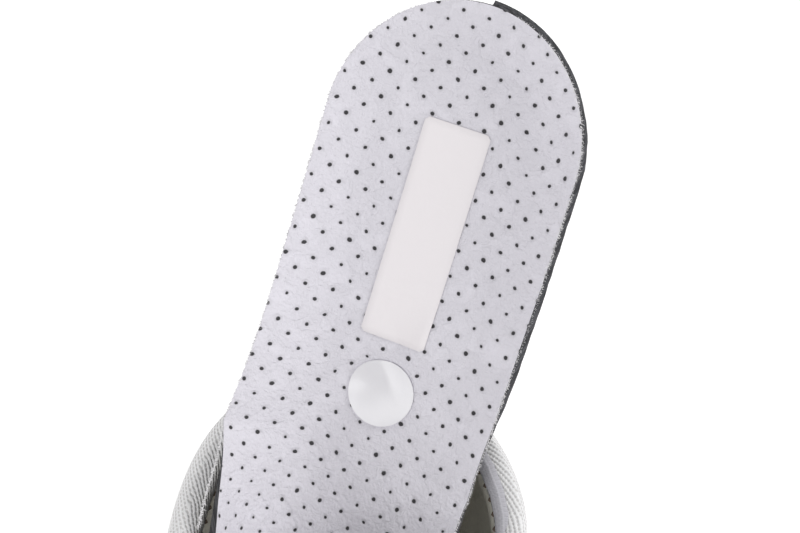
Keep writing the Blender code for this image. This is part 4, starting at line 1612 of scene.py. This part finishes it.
@dataclass
class Wardrobe:
    """Every finish of the shoe."""

    effects: Effects = field(default_factory=Effects)

    def __post_init__(self) -> None:
        """Makes the materials."""
        make = {
            "mesh": MeshFinish("White sandwich mesh", (0.93, 0.925, 0.93), 0.85, 0.0005, 0.7, sheen=0.2),
            "tongue": MeshFinish("Tongue mesh", (0.86, 0.855, 0.84), 0.85, 0.0005, 0.7, across=0.0021,
                                 along=0.0018, lining_from=9.0, sheen=0.15),
            # The inside faces take the mesh in a darker base colour, painted shade inside the shoe.
            "inside": MeshFinish("Inside of the upper", (0.84, 0.83, 0.81), 0.85, 0.0006, 0.7),
            "overlay": Finish("White smooth overlay", (0.80, 0.80, 0.79), 0.42, 0.0003, 0.35,
                              specular=0.45),
            "cover": CoverFinish("Insole cover", (0.785, 0.765, 0.825), 0.85, 0.00060, 0.95, tone=0.09,
                                 sheen=0.15, specular=0.25),
            "foam": FoamFinish("Grey insole foam", (0.10, 0.10, 0.11), 0.9, 0.0006, 0.9, tone=0.3),
            "patch": Finish("Smooth cream patch", (0.87, 0.83, 0.85), 0.42, 0.0001, 0.25, tone=0.04,
                            specular=0.45),
            "sticker": Finish("Paper sticker", (0.84, 0.83, 0.86), 0.30, 0.00005, 0.2, tone=0.03,
                              specular=0.5),
            "fibre": Finish("Cut fibres", (0.84, 0.83, 0.84), 0.9, 0.0001, 0.1),
            "lace": WovenFinish("Flat lace", (0.84, 0.84, 0.83), 0.75, 0.0004, 0.7, pitch=0.0011),
            "tape": WovenFinish("Pale woven band", (0.70, 0.69, 0.74), 0.6, 0.00015, 0.5, pitch=0.0007,
                                shade=0.93),
            "thread": Finish("White thread", (0.82, 0.82, 0.80), 0.55, 0.0001, 0.3),
            "dark_thread": Finish("Brown thread", (0.16, 0.12, 0.09), 0.7, 0.0001, 0.3),
            "midsole": MouldedFinish("Moulded foam sidewall", (0.82, 0.82, 0.81), 0.5, 0.00025, 0.35,
                                     place=Place.SPACE, tone=0.06),
            "outsole": MouldedFinish("White rubber tread", (0.70, 0.70, 0.69), 0.55, 0.0008, 0.6,
                                     place=Place.SPACE, tone=0.10, tread=0.0036),
            "floor": Finish("Pale floor", (0.93, 0.93, 0.93), 0.9, 0.0001, 0.05, place=Place.SPACE,
                            tone=0.0),
        }
        self.items = {key: finish.make(self.effects) for key, finish in make.items()}

    def __getitem__(self, key: str) -> Material:
        """The material of a finish."""
        return self.items[key]


@dataclass
class Shoe:
    """The upper, its overlays, tongue and soles."""

    wardrobe: Wardrobe

    def build(self) -> None:
        """Builds and dresses every piece of the shoe itself."""
        w = self.wardrobe
        upper = SoftCopy("upper").make((w["mesh"], w["inside"]))
        place_piece(upper, "mesh", "upper")
        covers = {}
        for node in ("eyestay", "heel_counter", "toe_cap"):
            covers[node] = place_piece(SoftCopy(node, swell=0.0002).make((w["overlay"],)), "overlay", node)
        tongue = place_piece(SoftCopy("tongue", levels=3).make((w["tongue"],)), "tongue", "tongue")
        midsole = SoftCopy("midsole", crease_over=35.0).make((w["midsole"],), 40.0)
        place_piece(midsole, "midsole", "midsole")
        outsole = node_object("outsole")
        outsole.data.materials.clear()
        outsole.data.materials.append(w["outsole"])
        self.seams(covers)

    def seams(self, covers: dict[str, Object]) -> None:
        """Sews the edges of the overlays, and the collar's two seams.

        Args:
            covers: The dressed overlays by their nodes.
        """
        w = self.wardrobe
        sole = search_tree("midsole")
        rows = Stitching("overlay_stitches")
        for node, cover in covers.items():
            graph = bpy.context.evaluated_depsgraph_get()
            skin = BVHTree.FromObject(cover, graph)
            for path in EdgeSeam(node).paths(skin):
                rows.run(path, lambda point: sole.find_nearest(point)[3] > 0.0035)
        rows.finish(w["thread"], "overlay")
        skin = Skin(search_tree("upper"))
        collar = Stitching("collar_stitches", length=0.0020)
        arc = skin.ring.heel_radius * math.pi / 2
        reach = arc + 0.055
        collar.run(skin.line(-reach, reach, COLLAR_SEAM, True))
        collar.finish(w["thread"], "mesh")
        lining = Stitching("lining_stitches", length=0.0016, gap=0.0024, radius=0.0004)
        lining.run(skin.line(-reach, reach, LINING_SEAM, False))
        lining.finish(w["dark_thread"], "mesh")
        self.tape(skin)

    def tape(self, skin: Skin) -> None:
        """Smooth band round the inside of the heel collar, over the seam of the lining.

        Args:
            skin: The surfaces of the upper.
        """
        half, count, wide = 0.058, 112, 8
        mesh, rows = bmesh.new(), []
        for k in range(count + 1):
            run = half * (2 * k / count - 1)
            end = rounded(half - abs(run), 0.004)
            crest, row = skin.top(run), []
            for i in range(wide + 1):
                under = 0.0030 + 0.0021 * end * (2 * i / wide - 1)
                found = skin.hit(run, crest - under, False)
                rim = min(i, wide - i, count - k, k)
                lift = 0.00015 + 0.00055 * min(rim / 2, 1.0)
                row.append((mesh.verts.new(found[0] + found[1] * lift), (run, under)))
            rows.append(row)
        face_rows(mesh, rows)
        band = object_from("heel_collar_band", mesh, (self.wardrobe["tape"],), 70.0)
        inside = Vector((-0.004, 0.0, 0.08))
        if sum((inside - face.center).dot(face.normal) for face in band.data.polygons) < 0:
            band.data.flip_normals()
        place_piece(band, "mesh")


@dataclass
class Studio:
    """Camera, lights and floor."""

    lens: float = 117.0
    place: Vector = field(default_factory=lambda: Vector((0.1913, -0.0310, 0.7465)))
    right: Vector = field(default_factory=lambda: Vector((-0.43845, 0.88097, 0.17790)))
    up: Vector = field(default_factory=lambda: Vector((-0.82538, -0.47303, 0.30823)))
    back: Vector = field(default_factory=lambda: Vector((0.35569, -0.01170, 0.93453)))
    aim: Vector = field(default_factory=lambda: Vector((0.03, 0.0, 0.08)))
    sky: float = 0.52
    floor_glow: float = 0.35

    def camera(self) -> None:
        """Sets the camera at the photograph's angle."""
        data = bpy.data.cameras.new("Photograph")
        data.lens, data.sensor_width, data.clip_start, data.clip_end = self.lens, 36.0, 0.01, 20.0
        camera = bpy.data.objects.new("Photograph", data)
        turn = Matrix((self.right, self.up, self.back)).transposed()
        camera.matrix_world = Matrix.Translation(self.place) @ turn.to_4x4()
        bpy.context.scene.collection.objects.link(camera)
        bpy.context.scene.camera = camera

    def light(self, name: str, place: tuple[float, float, float], size: float, power: float) -> None:
        """Adds a soft square light that faces the shoe.

        Args:
            name: The light's name.
            place: Where it stands.
            size: Length of its side.
            power: Power in watts.
        """
        data = bpy.data.lights.new(name, "AREA")
        data.size, data.energy = size, power
        lamp = bpy.data.objects.new(name, data)
        lamp.location = place
        lamp.rotation_euler = (Vector(place) - self.aim).to_track_quat("Z", "Y").to_euler()
        bpy.context.scene.collection.objects.link(lamp)

    def build(self, floor_finish: Material) -> None:
        """Builds the whole studio.

        Args:
            floor_finish: Finish of the floor.
        """
        self.camera()
        world = bpy.data.worlds.new("Studio")
        bpy.context.scene.world = world
        world.use_nodes = True
        sky = world.node_tree.nodes["Background"]
        sky.inputs["Color"].default_value = (1.0, 1.0, 1.0, 1.0)
        sky.inputs["Strength"].default_value = self.sky
        self.light("Key", (-0.60, 0.70, 0.90), 0.5, 6.6)
        self.light("Fill", (0.80, -0.25, 0.90), 0.6, 4.2)
        mesh = bmesh.new()
        bmesh.ops.create_grid(mesh, x_segments=1, y_segments=1, size=3.0)
        floor = object_from("floor", mesh, (floor_finish,), None)
        floor.location.z = -0.0005
        shader = floor_finish.node_tree.nodes["Principled BSDF"]
        shader.inputs["Emission Color"].default_value = (1.0, 1.0, 1.0, 1.0)
        shader.inputs["Emission Strength"].default_value = self.floor_glow
        bpy.context.scene.view_settings.view_transform = "Standard"


def main() -> None:
    """Builds the shoe in order."""
    logging.basicConfig(level=logging.INFO, format="%(name)s: %(message)s")
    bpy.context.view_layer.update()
    wardrobe = Wardrobe()
    Studio().build(wardrobe["floor"])
    Shoe(wardrobe).build()
    insole = Insole()
    insole.build(wardrobe["cover"], wardrobe["foam"])
    insole.patch(wardrobe["patch"])
    insole.sticker(wardrobe["sticker"])
    insole.fringe(wardrobe["fibre"])
    Lacing().build(wardrobe["lace"], search_tree("upper", "eyestay", "tongue"))


if __name__ == "__main__":
    main()
